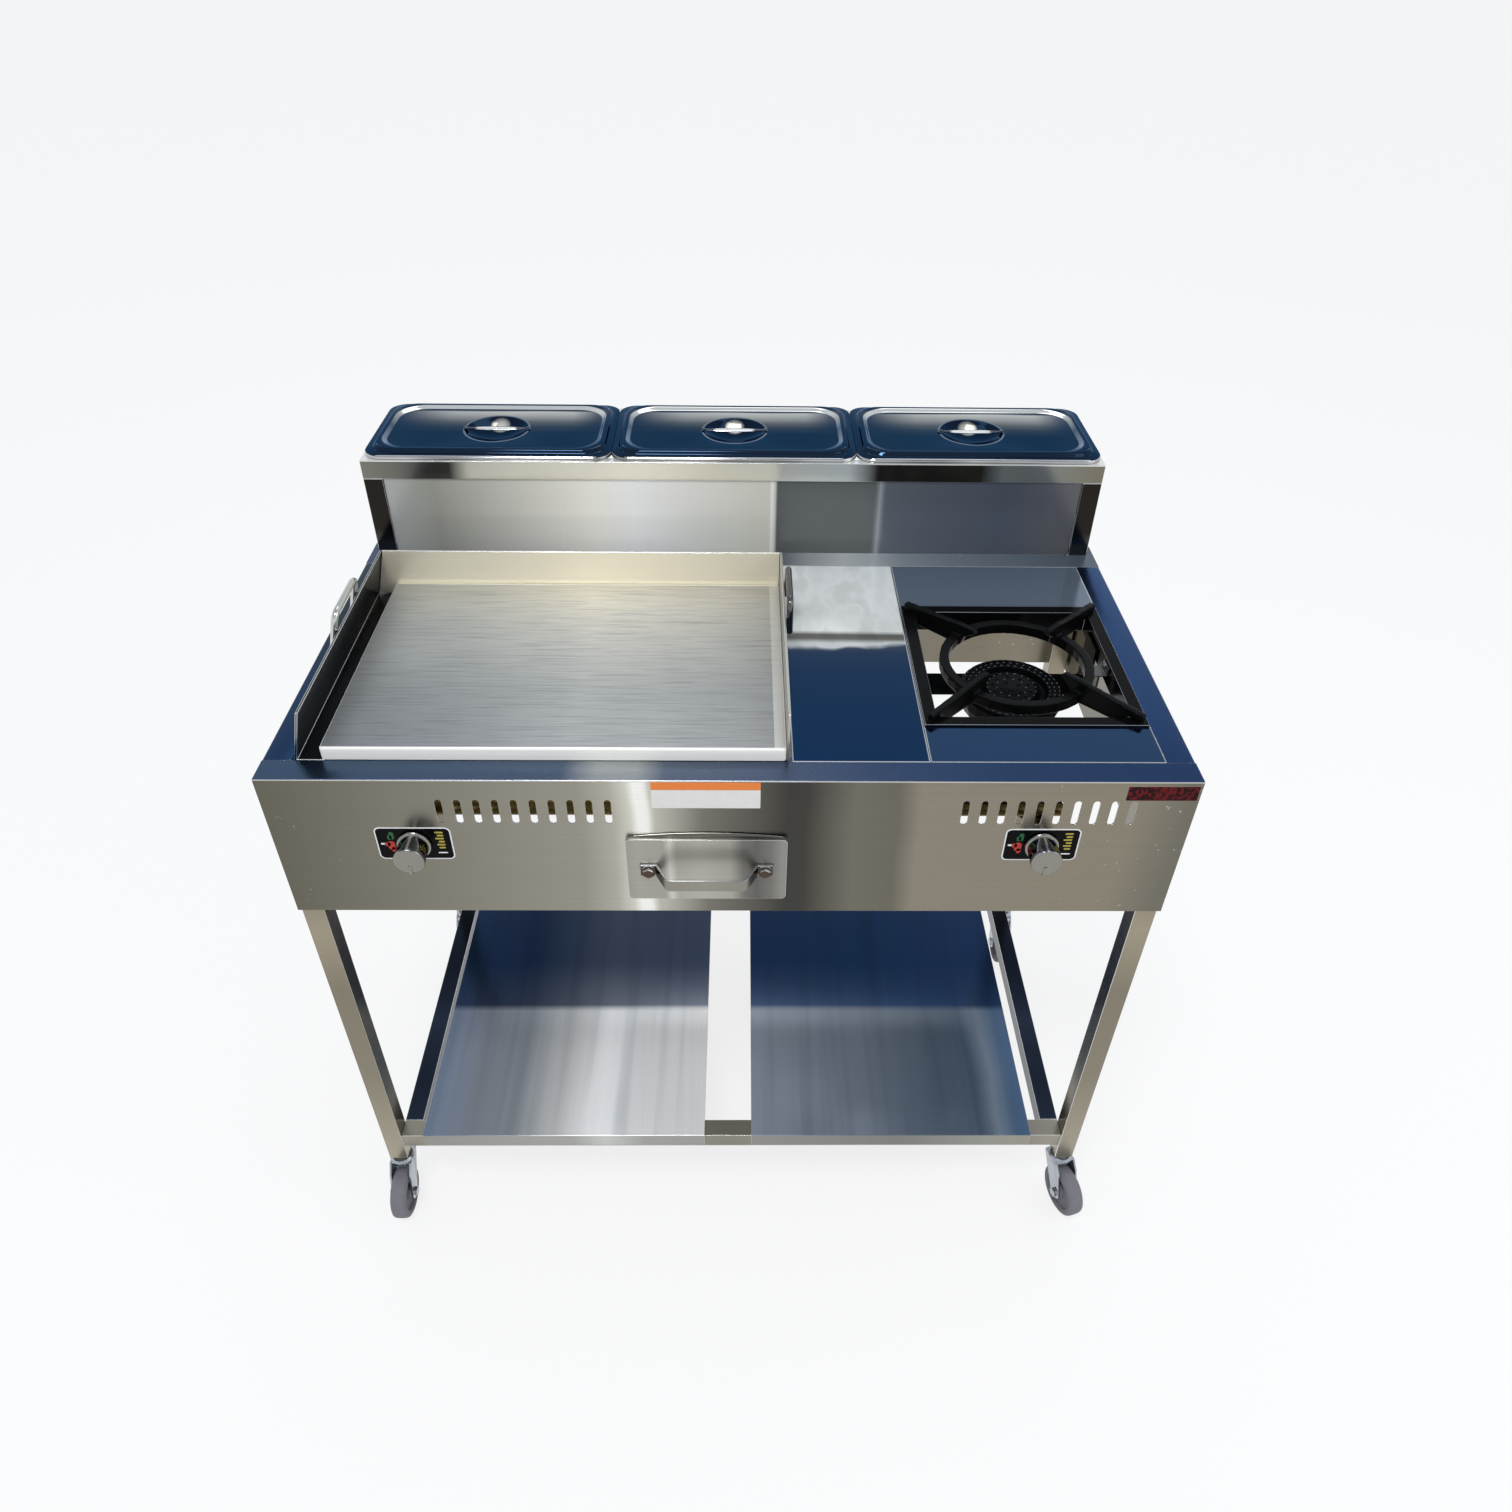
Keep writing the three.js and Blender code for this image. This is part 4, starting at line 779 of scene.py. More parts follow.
def finish(key):
    """The material of that name, made when it is first asked for."""
    ready = bpy.data.materials.get(key)
    if ready:
        return ready
    colours = bpy.context.scene.cart_finish
    apron, iron = tuple(colours.apron), tuple(colours.iron)

    def behind_light(tree):
        """1 behind the wavy line across the work panel and 0 in front of it."""
        sway = tree.noise(tree.place((14, 14, 14)), 1.0, 2.0)
        value = tree.count("MULTIPLY_ADD", sway, 0.045, tree.spot("Y"))
        return tree.share(value, REAR_LIGHT + 0.0185, REAR_LIGHT + 0.0265)

    def work_tones(tree):
        behind = behind_light(tree)
        rear = tree.tones("Y", REAR_LIGHT, high("work_panel").y, [
            (0.0, (0.34, 0.36, 0.38)), (0.02, (0.6, 0.62, 0.62)), (0.065, (0.64, 0.66, 0.65)),
            (0.115, (0.13, 0.125, 0.11)), (0.16, (0.115, 0.11, 0.095)), (0.205, (0.84, 0.86, 0.84)),
            (1.0, (0.92, 0.95, 0.94)),
        ], 0.012)
        creases = tree.noise(tree.place((34, 17, 1)), 1.0, 2.0, 0.5)
        rear = tree.mix(0.7, rear, tree.ramp(creases, [(0.36, (0.8, 0.8, 0.79)), (0.47, 1), (0.64, 0.86)]), "MULTIPLY")
        # Painted sky reflection: deep navy in front of the wavy line.
        front = tree.tones("Y", low("work_panel").y, REAR_LIGHT, [
            (0.0, (0.007, 0.042, 0.118)), (0.75, (0.008, 0.042, 0.112)), (0.93, (0.018, 0.05, 0.115)),
            (1.0, (0.05, 0.08, 0.13)),
        ])
        tones = tree.mix(behind, front, rear)
        # Painted highlight: a light line round the panel's edges.
        return tree.mix(tree.border("work_panel", SEAM), tones, (0.6, 0.62, 0.65))

    def work_metal(tree):
        return tree.spread(behind_light(tree), 1.0, 0.3)

    def strap_tones(tree):
        # Painted light on the strap: light along its front, dark where it slants to its pads, a painted highlight on
        # the up-facing faces and painted shade on the down-facing ones.
        front = tree.over("drip_tray_handle", "X", [
            (0.0, (0.075, 0.057, 0.045)), (0.17, (0.055, 0.044, 0.036)), (0.205, (0.3, 0.29, 0.25)),
            (0.5, (0.33, 0.32, 0.27)), (0.795, (0.28, 0.27, 0.23)), (0.83, (0.05, 0.04, 0.033)),
            (1.0, (0.075, 0.057, 0.045)),
        ])
        lit = tree.mix(tree.facing("Z", 0.5, 0.85), front, BRIGHT)
        return tree.mix(tree.facing("Z", -0.4, -0.8), lit, (0.05, 0.042, 0.034))

    def shelf_metal(tree):
        return tree.spread(tree.share(tree.spot("Y"), SHADOW_LINE - SHADOW_BLUR, SHADOW_LINE + SHADOW_BLUR), 0.2, 0.85)

    def burner_deck_metal(tree):
        return tree.spread(tree.share(tree.spot("Y"), 0.0, 0.05), 1.0, 0.5)

    makers = {
        "front_apron_sheet": steel(apron_paint("front_apron", "X", FRONT_FACE, FRONT_RIM), 0.27),
        "rear_apron_sheet": steel(apron_paint("rear_apron", "X", FRONT_FACE, REAR_RIM), 0.27,
                                          lambda tree: tree.spread(tree.facing("Z", 0.6, 0.9), 1.0, 0.35)),
        "bar_steel": steel(streaked(apron, "Y", 2.2, 0.3), 0.27, grain=GRAIN_Y),
        "rail_steel": steel(streaked(scaled(apron, 1.35), "X", 3.2, 0.3), 0.24, 0.55),
        "side_rail_steel": steel(streaked((0.022, 0.03, 0.048), "Y", 3.2, 0.5), 0.14, grain=GRAIN_Y),
        # Painted reflections down the legs, lighter at the foot.
        "leg_steel": steel(toned("leg_front_left", "Z", [
            (0.0, (0.44, 0.4, 0.31)), (0.3, (0.27, 0.24, 0.18)), (0.55, (0.25, 0.222, 0.165)),
            (0.7, (0.38, 0.335, 0.25)), (0.82, (0.28, 0.25, 0.185)), (1.0, (0.22, 0.195, 0.145)),
        ], 0.03), 0.24, 0.9, GRAIN_Z),
        "splash_steel": steel(toned("backsplash", "X", SPLASH), 0.18, 0.15, GRAIN_Z, contrast=0.14),
        "work_sheet": steel(work_tones, 0.12, work_metal, contrast=0.15),
        # Painted reflections: the burner deck navy at the front and lighter at the rear, the flue cover lightest a
        # little right of its middle.
        "burner_deck_sheet": steel(deck_paint("burner_deck", "Y", [
            (0.0, (0.03, 0.074, 0.165)), (0.64, (0.03, 0.075, 0.16)), (0.75, (0.155, 0.195, 0.25)),
            (1.0, (0.145, 0.19, 0.25)),
        ]), 0.12, burner_deck_metal, contrast=0.15),
        "flue_sheet": steel(deck_paint("flue_cover", "X", [
            (0.0, (0.05, 0.07, 0.1)), (0.62, (0.42, 0.44, 0.44)), (0.8, (0.16, 0.19, 0.22)),
            (1.0, (0.1, 0.13, 0.17)),
        ]), 0.16, 0.35),
        "pan_steel": steel(streaked((0.40, 0.40, 0.40), "X", 5.0, 0.4), 0.14, contrast=0.15, depth=0.05),
        "frame_steel": steel(framed_paint("pan_shelf_frame"), 0.12, 0.6, contrast=0.12, depth=0.08),
        "tray_steel": steel(streaked((0.34, 0.33, 0.29), "X", 7, 0.3), 0.22),
        "tray_face_steel": steel(toned("drip_tray_front", "X", TRAY_FACE, 0.01), 0.36, 0.8),
        "strap_steel": steel(strap_tones, 0.2),
        # Painted highlights on the up-facing faces of the tray lip and the bolt heads.
        "lip_steel": steel(lambda tree: tree.mix(tree.facing("Z", 0.8, 0.97), (0.15, 0.145, 0.125), BRIGHT), 0.2),
        "bolt_steel": steel(lambda tree: tree.mix(tree.facing("Z", 0.2, 0.7), (0.09, 0.065, 0.048), BRIGHT), 0.18),
        "griddle_plate_steel": steel(
            plate_paint("griddle_plate"), 0.36, lambda tree: tree.spread(tree.facing("Z", 0.97, 0.8), 0.5, 0.1),
            (5, 800, 500), 0.35, 0.35),
        # One steel, lit and shaded: the back wall is painted light, the left wall painted shade and the right wall in
        # between.
        "griddle_wall_steel": steel(streaked((0.92, 0.86, 0.69), "X", 2, 0.06), 0.34, 0.5),
        "griddle_side_steel": steel(streaked((0.05, 0.055, 0.062), "Y", 2, 0.2), 0.26, grain=GRAIN_Y),
        "griddle_end_steel": steel(streaked((0.45, 0.43, 0.38), "Y", 2, 0.2), 0.3, 0.8, GRAIN_Y),
        # Painted highlights: light bevel faces along the edges, where light catches them.
        "edge_highlight": plated(BRIGHT, 0.2, 0.25),
        # Grey bevel faces: a painted highlight along the edges of the black burner frame.
        "dark_edge": plated((0.30, 0.31, 0.33), 0.16, 0.25),
        # One chrome, lit and shaded: the left handle is painted light and the right one painted dark.
        "handle_chrome_left": plated((0.60, 0.62, 0.58), 0.07, 0.12),
        "handle_chrome_right": plated((0.13, 0.13, 0.125), 0.08, 0.12),
        # Painted reflections down the rear posts, a little lighter at their foot.
        "post_chrome": steel(toned("rear_post_left", "Z", [
            (0.0, (0.075, 0.077, 0.075)), (0.22, (0.06, 0.062, 0.06)), (0.36, (0.024, 0.022, 0.019)),
            (1.0, (0.022, 0.019, 0.016)),
        ], 0.01), 0.12, contrast=0.1),
        "burner_iron": cast_black(scaled(iron, 0.35), 0.22, 0.5, 0.07),
        # Painted highlights: the crown's studs are the burner's iron made lighter, for their glints.
        "stud_iron": cast_black(scaled(iron, 7), 0.14, 0.1, 0.6),
        "enamel_black": cast_black(scaled(iron, 0.3), 0.12, 0.06, 0.06),
        "bracket_zinc": plated((0.16, 0.16, 0.155), 0.25),
        "caster_zinc": plated((0.46, 0.49, 0.54), 0.22),
        "valve_brass": plated((0.30, 0.22, 0.08), 0.3),
        "tyre_rubber": moulded_rubber((0.13, 0.125, 0.14), 0.62),
        "plate_black": printed((0.0016, 0.0016, 0.002), 0.22, 0.06),
        "plate_white": printed((0.80, 0.80, 0.79), 0.35),
        "mark_red": printed((0.48, 0.03, 0.02), 0.35),
        "mark_green": printed((0.01, 0.11, 0.03), 0.35),
        "mark_yellow": printed((0.42, 0.34, 0.05), 0.35),
        "label_orange": printed((0.80, 0.22, 0.04), 0.4),
        "label_white": printed((0.74, 0.73, 0.69), 0.45),
        "strip_red": mottled((0.014, 0.003, 0.003), (0.12, 0.006, 0.009), 0.3),
        "weld": plated((0.5, 0.47, 0.4), 0.3, 0.5),
    }
    sides = (
        ("left", LEFT_RIM, SHELF_LEFT_FRONT, SHELF_LEFT_REAR, LEFT_LIP),
        ("right", RIGHT_RIM, SHELF_RIGHT_FRONT, SHELF_RIGHT_REAR, RIGHT_LIP),
    )
    for side, rim, front, rear, lip in sides:
        makers[f"{side}_apron_sheet"] = steel(apron_paint(f"{side}_apron", "Y", END_FACE, rim), 0.27, grain=GRAIN_Y)
        makers[f"{side}_shelf_steel"] = steel(
            shelf_paint(f"lower_shelf_{side}", front, rear, lip), 0.18, shelf_metal, GRAIN_Y, contrast=0.2)
        makers[f"knob_chrome_{side}"] = steel(knob_paint(f"knob_{side}"), 0.12, contrast=0.1, depth=0.03)
    for number in (1, 2, 3):
        node = f"pan_lid_{number}"
        makers[f"lid_steel_{number}"] = steel(
            pressed_paint(node), 0.09, contrast=0.1, depth=0.05, Specular_Tint=(0.5, 0.6, 0.75, 1))
        makers[f"grip_steel_{number}"] = steel(grip_paint(node), 0.12, contrast=0.1, depth=0.05)
    return makers[key](Tree(key))


class CART_OT_sheets(bpy.types.Operator):
    """Rounds and finishes the table housing, its decks, legs, rails and lower shelf"""

    bl_idname = "cart.sheets"
    bl_label = "Sheets and tubes"

    def execute(self, context):
        edge = context.scene.cart_sizes.sheet_edge
        chosen = {
            "front_apron": "front_apron_sheet", "rear_apron": "rear_apron_sheet",
            "left_apron": "left_apron_sheet", "right_apron": "right_apron_sheet",
            "work_panel": "work_sheet", "burner_deck": "burner_deck_sheet", "flue_cover": "flue_sheet",
            "backsplash": "splash_steel", "pan_shelf_frame": "frame_steel",
            "rear_post_left": "post_chrome", "rear_post_right": "post_chrome",
            "lower_rail_front": "rail_steel", "lower_rail_rear": "rail_steel",
            "lower_rail_left": "side_rail_steel", "lower_rail_right": "side_rail_steel",
            "lower_shelf_left": "left_shelf_steel", "lower_shelf_right": "right_shelf_steel",
            "deck_bar_left": "bar_steel", "deck_bar_right": "bar_steel",
            "tray_runner_left": "side_rail_steel", "tray_runner_right": "side_rail_steel",
        }
        for place in CORNERS:
            chosen[f"leg_{place}"] = "leg_steel"
        thin_tubes = ("pan_shelf_frame", "rear_post_", "lower_rail_")
        for node, key in chosen.items():
            bevel = 1.4 * MM if node.startswith("leg_") else 0.55 * MM if node.startswith(thin_tubes) else edge
            softened(node, finish(key), bevel, 3 if bevel > edge else 2, edge="edge_highlight")
        return {"FINISHED"}


class CART_OT_griddle(bpy.types.Operator):
    """Finishes the griddle plate, its walls and its lifting handles"""

    bl_idname = "cart.griddle"
    bl_label = "Griddle"

    def execute(self, context):
        self.plate(context.scene.cart_sizes.plate_edge)
        for side, key in (("back", "wall"), ("right", "end"), ("left", "side")):
            softened(f"griddle_{side}_wall", finish(f"griddle_{key}_steel"), 0.8 * MM, edge="edge_highlight")
        self.handle("left", True)
        self.handle("right", False)
        return {"FINISHED"}

    def plate(self, edge):
        work = copied("griddle_plate")
        lowest, highest = low("griddle_plate"), high("griddle_plate")

        def outer(vert):
            x, y, z = vert.co
            on_side = min(abs(x - lowest.x), abs(x - highest.x), abs(y - lowest.y), abs(y - highest.y)) < 1e-5
            return on_side and abs(z - highest.z) < 1e-5

        def upright(item):
            first, second = (vert.co for vert in item.verts)
            return abs(first.z - second.z) > 1e-4 and (first.xy - second.xy).length < 1e-5

        edges = [item for item in work.edges if all(outer(vert) for vert in item.verts)]
        edges += [item for item in work.edges if upright(item) and outer(max(item.verts, key=lambda v: v.co.z))]
        rounded(work, list(set(edges)), edge, 6)
        piece("griddle_plate_ground", work, "griddle", finish("griddle_plate_steel"), 35,
              ("griddle_plate",), 0.4 * MM)

    def handle(self, side, lean):
        node = f"griddle_handle_{side}"
        lowest, highest = low(node), high(node)
        radius = 4 * MM
        if lean:
            foot_x, top_x = lowest.x + radius, highest.x - radius
        else:
            foot_x = top_x = (lowest.x + highest.x) / 2
        y0, y1 = lowest.y + radius, highest.y - radius
        z0, z1 = lowest.z + 0.6 * MM, highest.z - radius
        corners = [Vector((foot_x, y0, z0)), Vector((top_x, y0, z1)), Vector((top_x, y1, z1)), Vector((foot_x, y1, z0))]
        work = bmesh.new()
        tube_along(work, bend(corners, 14 * MM), radius, 20)
        piece(f"{node}_rod", work, "griddle", finish(f"handle_chrome_{side}"), 50, (node,), 0.5 * MM)


class CART_OT_burner(bpy.types.Operator):
    """Finishes the cast burner, the pot grate, their frame and the gas parts under the deck"""

    bl_idname = "cart.burner"
    bl_label = "Burner"

    def execute(self, context):
        for node, voxel, passes in (("pot_grate", 1.1, 5), ("ring_burner", 0.95, 2), ("griddle_burner", 1.6, 3)):
            cast(node, finish("burner_iron"), voxel * MM, passes)
        softened("burner_frame", finish("enamel_black"), 0.6 * MM, 3, edge="dark_edge")
        softened("burner_support_strap", finish("enamel_black"), 0.5 * MM)
        softened("pilot_bracket", finish("bracket_zinc"), 0.25 * MM)
        for node in ("gas_pipe", "valve_left", "valve_right"):
            softened(node, finish("valve_brass"), 0.3 * MM, 2, 40)
        self.frame_screws()
        self.studs()
        return {"FINISHED"}

    def studs(self):
        """Rows of low raised dashes on the crown between the ports, and a few on the inner disc."""
        middle, top = centre("burner_frame"), high("ring_burner").z - 0.1 * MM
        rows = ((58.2, 44, 0.0), (52.4, 40, 0.0), (46.6, 34, 0.0), (29.6, 20, -0.2), (18.0, 10, -0.9))
        work = bmesh.new()
        for radius, count, rise in rows:
            for k in range(count):
                angle = 2 * math.pi * k / count
                made = bmesh.ops.create_icosphere(work, subdivisions=1, radius=1)["verts"]
                bmesh.ops.scale(work, verts=made, vec=(0.9 * MM, 2.1 * MM, 1.0 * MM))
                bmesh.ops.rotate(work, verts=made, matrix=Matrix.Rotation(angle, 3, "Z"))
                move_all(work, (middle.x + radius * math.cos(angle) * MM, middle.y + radius * math.sin(angle) * MM,
                                top + rise * MM), made)
        piece("burner_crown_studs", work, body_of("ring_burner"), finish("stud_iron"), 60)

    def frame_screws(self):
        """Small pan-head screws at the frame's corners."""
        lowest, highest = low("burner_frame"), high("burner_frame")
        inset = 7 * MM
        work = bmesh.new()
        for x in (lowest.x + inset, highest.x - inset):
            for y in (lowest.y + inset, highest.y - inset):
                made = spun(work, [(0, 1.7), (1.6, 1.6), (2.7, 1.1), (3.2, 0), (0, 0)], 20)
                move_all(work, (x, y, highest.z - 0.05 * MM), made)
        piece("burner_frame_screws", work, "cart", finish("enamel_black"), 40)


class CART_OT_controls(bpy.types.Operator):
    """Makes the knobs and the plates behind them"""

    bl_idname = "cart.controls"
    bl_label = "Knobs and plates"

    def execute(self, context):
        size = context.scene.cart_sizes.control_plate
        for side in ("left", "right"):
            self.knob(side)
            self.plate(side, size)
        return {"FINISHED"}

    def knob(self, side):
        """A straight drum with a flat cap, a skirt ring and a short rib under the cap's edge."""
        node = f"knob_{side}"
        back, middle = high(node).y, centre(node)
        length, cap, foot, skirt, bore = 28.0, 17.2, 16.3, 18.7, 3.3
        profile = [(0, 0.25), (cap - 3.4, 0.0), (cap - 1.9, 0.1), (cap - 0.8, 0.5), (cap - 0.2, 1.1), (cap, 2.0)]
        for k in range(1, 6):
            profile.append((cap + (foot - cap) * k / 5, 2.0 + (length - 6.6) * k / 5))
        profile += [(foot + 0.1, length - 4.0), (skirt - 1.2, length - 3.6), (skirt - 0.3, length - 3.2),
                    (skirt, length - 2.4), (skirt, length - 0.2), (skirt - 0.2, length), (bore, length),
                    (bore, length - 15), (0, length - 15)]
        work = bmesh.new()
        spun(work, profile, 72)
        turned(work, -90, "X")
        move_all(work, (middle.x, back - length * MM, middle.z))
        front = back - (length + 0.65) * MM
        rib = block(work, (middle.x - 1.95 * MM, front, middle.z - (cap + 1.35) * MM),
                    (middle.x + 1.95 * MM, back - length / 2 * MM, middle.z - cap * 0.35 * MM))
        edges = list({edge for vert in rib for edge in vert.link_edges})
        rounded(work, edges, 0.6 * MM, 3)
        piece(f"{node}_turned", work, f"control_{side}", finish(f"knob_chrome_{side}"), 38, (node,))

    def plate(self, side, size):
        """A black plate with a white border line, clear of the knob, with plain marks."""
        middle = centre(f"valve_{side}")
        knob_z = low(f"valve_{side}").z + 14 * MM
        face = low("front_apron").y
        layers = (
            ("border", "plate_white", 0.0, 0.45, 6.5),
            ("field", "plate_black", 1.5, 0.60, 5.2),
        )
        for name, key, inset, height, radius in layers:
            work = bmesh.new()
            half_x, half_y = size[0] / 2 - inset * MM, size[1] / 2 - inset * MM
            outer = [round_loop(work, half_x, half_y, radius * MM, z * MM) for z in (0.02, height - 0.1)]
            outer.append(round_loop(work, half_x - 0.1 * MM, half_y - 0.1 * MM, (radius - 0.1) * MM, height * MM))
            inner = [circle_loop(work, 9 * MM, z * MM, 36) for z in (height - 0.02, 0.05)]
            stack(work, outer + inner, False)
            bmesh.ops.bridge_loops(work, edges=inner[-1] + outer[0])
            face_front(work, middle.x, face, knob_z)
            piece(f"control_{name}_{side}", work, "cart", finish(key), 30)
        self.marks(side, middle.x, face, knob_z)

    def marks(self, side, x, y, z):
        """A green and a red mark with a pointer on one side of the knob, a column of yellow bars on the other."""
        drawn = (
            ("off_mark", "mark_green", [(-23.5, 11.5, 2.6, 5.5), (-26.0, 9.0, 2.4, 3.4)]),
            ("on_mark", "mark_red", [(-25.5, -3.0, 4.0, 6.4), (-29.5, -1.0, 3.2, 3.0), (-24.0, -9.0, 2.4, 3.6)]),
            ("pointer", "plate_white", [(-34.6, -0.5, 2.4, 1.3)]),
            ("bars", "mark_yellow", [(28.5, 16.5, 4.6, 1.2), (29.5, 12.0, 3.6, 1.3), (28.2, 7.5, 4.8, 1.2),
                                     (30.0, 3.0, 3.4, 1.3), (28.8, -1.5, 4.6, 1.2), (29.6, -6.0, 3.6, 1.2)]),
            ("foot_line", "plate_white", [(29.0, -13.5, 5.2, 0.9)]),
        )
        for name, key, spots in drawn:
            work = bmesh.new()
            for spot_x, spot_z, half_x, half_z in spots:
                bottom = round_loop_at(work, spot_x, spot_z, half_x, half_z, 0.55)
                top = round_loop_at(work, spot_x, spot_z, half_x, half_z, 0.68)
                stack(work, [bottom, top], True, True)
            face_front(work, x, y, z)
            piece(f"control_{name}_{side}", work, "cart", finish(key), 30)


def round_loop_at(work, x, y, half_x, half_y, z):
    """A small rounded loop in millimetres about (x, y)."""
    before = set(work.verts)
    edges = round_loop(work, half_x * MM, half_y * MM, min(half_x, half_y) * 0.92 * MM, z * MM, 5)
    move_all(work, (x * MM, y * MM, 0), [vert for vert in work.verts if vert not in before])
    return edges


def contour(work, node, base, levels):
    """Loops round a node's outline from (inset, corner radius, rise) rows in millimetres."""
    half_x, half_y = (high(node).x - low(node).x) / 2, (high(node).y - low(node).y) / 2
    return [round_loop(work, half_x - inset * MM, half_y - inset * MM, radius * MM, base + rise * MM)
            for inset, radius, rise in levels]


class CART_OT_pans(bpy.types.Operator):
    """Makes the food pans and their lids"""

    bl_idname = "cart.pans"
    bl_label = "Pans and lids"

    def execute(self, context):
        for number in (1, 2, 3):
            self.pan(number)
            self.lid(number)
        return {"FINISHED"}

    def pan(self, number):
        node = f"food_pan_{number}"
        levels = [(0.3, 24, -4.0), (0.0, 24, -3.2), (0.0, 24, -1.6), (0.5, 23.5, -0.5), (1.6, 23, -0.06),
                  (10.0, 34, 0.0), (11.2, 37, -0.5), (11.8, 39, -1.8), (12.3, 40, -5.0)]
        for k in range(1, 7):
            t = k / 6
            levels.append((12.3 + 8.2 * t, 40, -5.0 - 85.0 * t))
        for k in range(1, 6):
            angle = math.pi / 2 * k / 5
            levels.append((20.5 + 8.5 * (1 - math.cos(angle)), 40 - 8.5 * (1 - math.cos(angle)),
                           -90.0 - 8.9 * math.sin(angle)))
        work = bmesh.new()
        stack(work, contour(work, node, high(node).z, levels))
        move_all(work, (centre(node).x, centre(node).y, 0))
        item = piece(f"{node}_drawn", work, f"pan_{number}", finish("pan_steel"), 50, (node,))
        thicken(item, PAN_WALL, 1.0)

    def lid(self, number):
        node = f"pan_lid_{number}"
        middle = centre(node)
        base = high(f"food_pan_{number}").z + 0.3 * MM
        field = 2.2
        border = (high(node).z - base) / MM - 0.8
        levels = [(0.9, 23.1, 0.2), (0.25, 23.8, 0.3), (0.0, 24, 0.6), (0.3, 23.7, 1.05), (1.0, 23, 1.2),
                  (7.4, 26, 1.24)]
        for k in range(1, 8):
            t = k / 7
            levels.append((7.4 + 3.8 * t, 26 + 5 * t, 1.25 + (border - 1.30) * smooth_step(t)))
        levels.append((13.4, 32.5, border))
        levels.append((15.6, 34, border - 0.05))
        for k in range(1, 9):
            t = k / 8
            levels.append((15.6 + 6.4 * t, 34 + 4 * t, border - 0.05 - (border - 0.05 - field) * smooth_step(t)))
        levels.append((24.5, 38, field - 0.05))
        work = bmesh.new()
        loops = contour(work, node, base, levels)
        bowl = [(44.0, -0.08), (42.9, -0.2), (42.1, -0.55)]
        for k in range(1, 11):
            share = 1 - k / 11
            bowl.append((42.1 * share, -0.55 - 12.2 * (1 - share ** 2.3)))
        loops += [circle_loop(work, radius * MM, base + (field + drop) * MM) for radius, drop in bowl]
        stack(work, loops)
        move_all(work, (middle.x, middle.y, 0))
        item = piece(f"{node}_pressed", work, f"lid_{number}", finish(f"lid_steel_{number}"), 60, (node,))
        thicken(item, LID_WALL, -1.0)
        self.grip(number, middle, base + field * MM + LID_WALL)

    def grip(self, number, middle, field):
        """A strap over the lid's dish, with turned-up ends spot-welded to the lid."""
        work = bmesh.new()
        made = bmesh.ops.create_grid(work, x_segments=36, y_segments=4, size=0.5)["verts"]
        for vert in made:
            x = vert.co.x * 90
            reach = abs(x)
            lift = -1.3 + 1.5 * smooth_step(min(1.0, max(0.0, (reach - 38.5) / 4.0)))
            crown = 0.35 * (1 - (2 * vert.co.y) ** 2) * (1 if reach < 40 else 0.3)
            half = 5.2 - 3.2 * smooth_step(min(1.0, max(0.0, (reach - 12) / 33)))
            vert.co = Vector((x * MM, vert.co.y * 2 * half * MM, (lift + crown + 0.1) * MM))
        move_all(work, (middle.x, middle.y, field))
        item = piece(f"lid_grip_{number}", work, f"lid_{number}", finish(f"grip_steel_{number}"), 60)
        thicken(item, 1.2 * MM, 1.0)


def thicken(item, thickness, offset, even=True):
    """Gives a sheet its wall; the offset's sign picks the side."""
    wall = item.modifiers.new("wall", "SOLIDIFY")
    wall.thickness = thickness
    wall.offset = offset
    wall.use_even_offset = even


class CART_OT_casters(bpy.types.Operator):
    """Makes the caster wheels and finishes their forks"""

    bl_idname = "cart.casters"
    bl_label = "Casters"

    def execute(self, context):
        for place in CORNERS:
            turn = FRONT_RIGHT_TURN if place == "front_right" else 0.0
            leg = centre(f"leg_{place}")
            self.wheel(place, leg, turn)
            softened(f"caster_fork_{place}", finish("caster_zinc"), 0.45 * MM, 2, 38)
            self.race(place, leg)
        return {"FINISHED"}

    def wheel(self, place, leg, turn):
        node = f"caster_wheel_{place}"
        radius, half, bore, trail = 37.5, 11.5, 4.3, 28
        hub, hub_half, web, rim = 11, 12.7, 5.2, 27.5
        half_profile = [
            (bore, -hub_half), (hub - 0.8, -hub_half), (hub, -hub_half + 0.8), (hub + 0.6, -web - 0.8),
            (hub + 1.6, -web), (rim - 1.6, -web), (rim - 0.6, -web - 0.8), (rim, -half + 0.9), (rim + 0.9, -half),
            (rim + 2.4, -half), (rim + 2.7, -half + 0.5), (rim + 3.4, -half + 0.5), (rim + 3.7, -half),
            (radius - 4.2, -half + 0.3), (radius - 1.4, -half + 1.9), (radius - 0.4, -half + 4.2), (radius, -3.4),
        ]
        profile = half_profile + [(away, -along) for away, along in reversed(half_profile)] + half_profile[:1]
        work = bmesh.new()
        spun(work, profile, 72)
        turned(work, 90, "Y")
        move_all(work, (0, -trail * MM, radius * MM))
        turned(work, turn, "Z")
        move_all(work, (leg.x, leg.y, 0))
        piece(f"{node}_moulded", work, f"wheel_{place}", finish("tyre_rubber"), 40, (node,))

    def race(self, place, leg):
        """The domed ball race and lock nut between the fork and the leg."""
        top = high(f"caster_fork_{place}").z
        work = bmesh.new()
        profile = [(0, -0.4), (11.5, -0.4), (14.6, -1.2), (15.6, -2.6), (16.4, -2.9), (16.4, -3.6), (0, -3.6)]
        spun(work, profile, 40)
        move_all(work, (leg.x, leg.y, top + 0.45 * MM))
        piece(f"caster_race_{place}", work, f"fork_{place}", finish("caster_zinc"), 40)


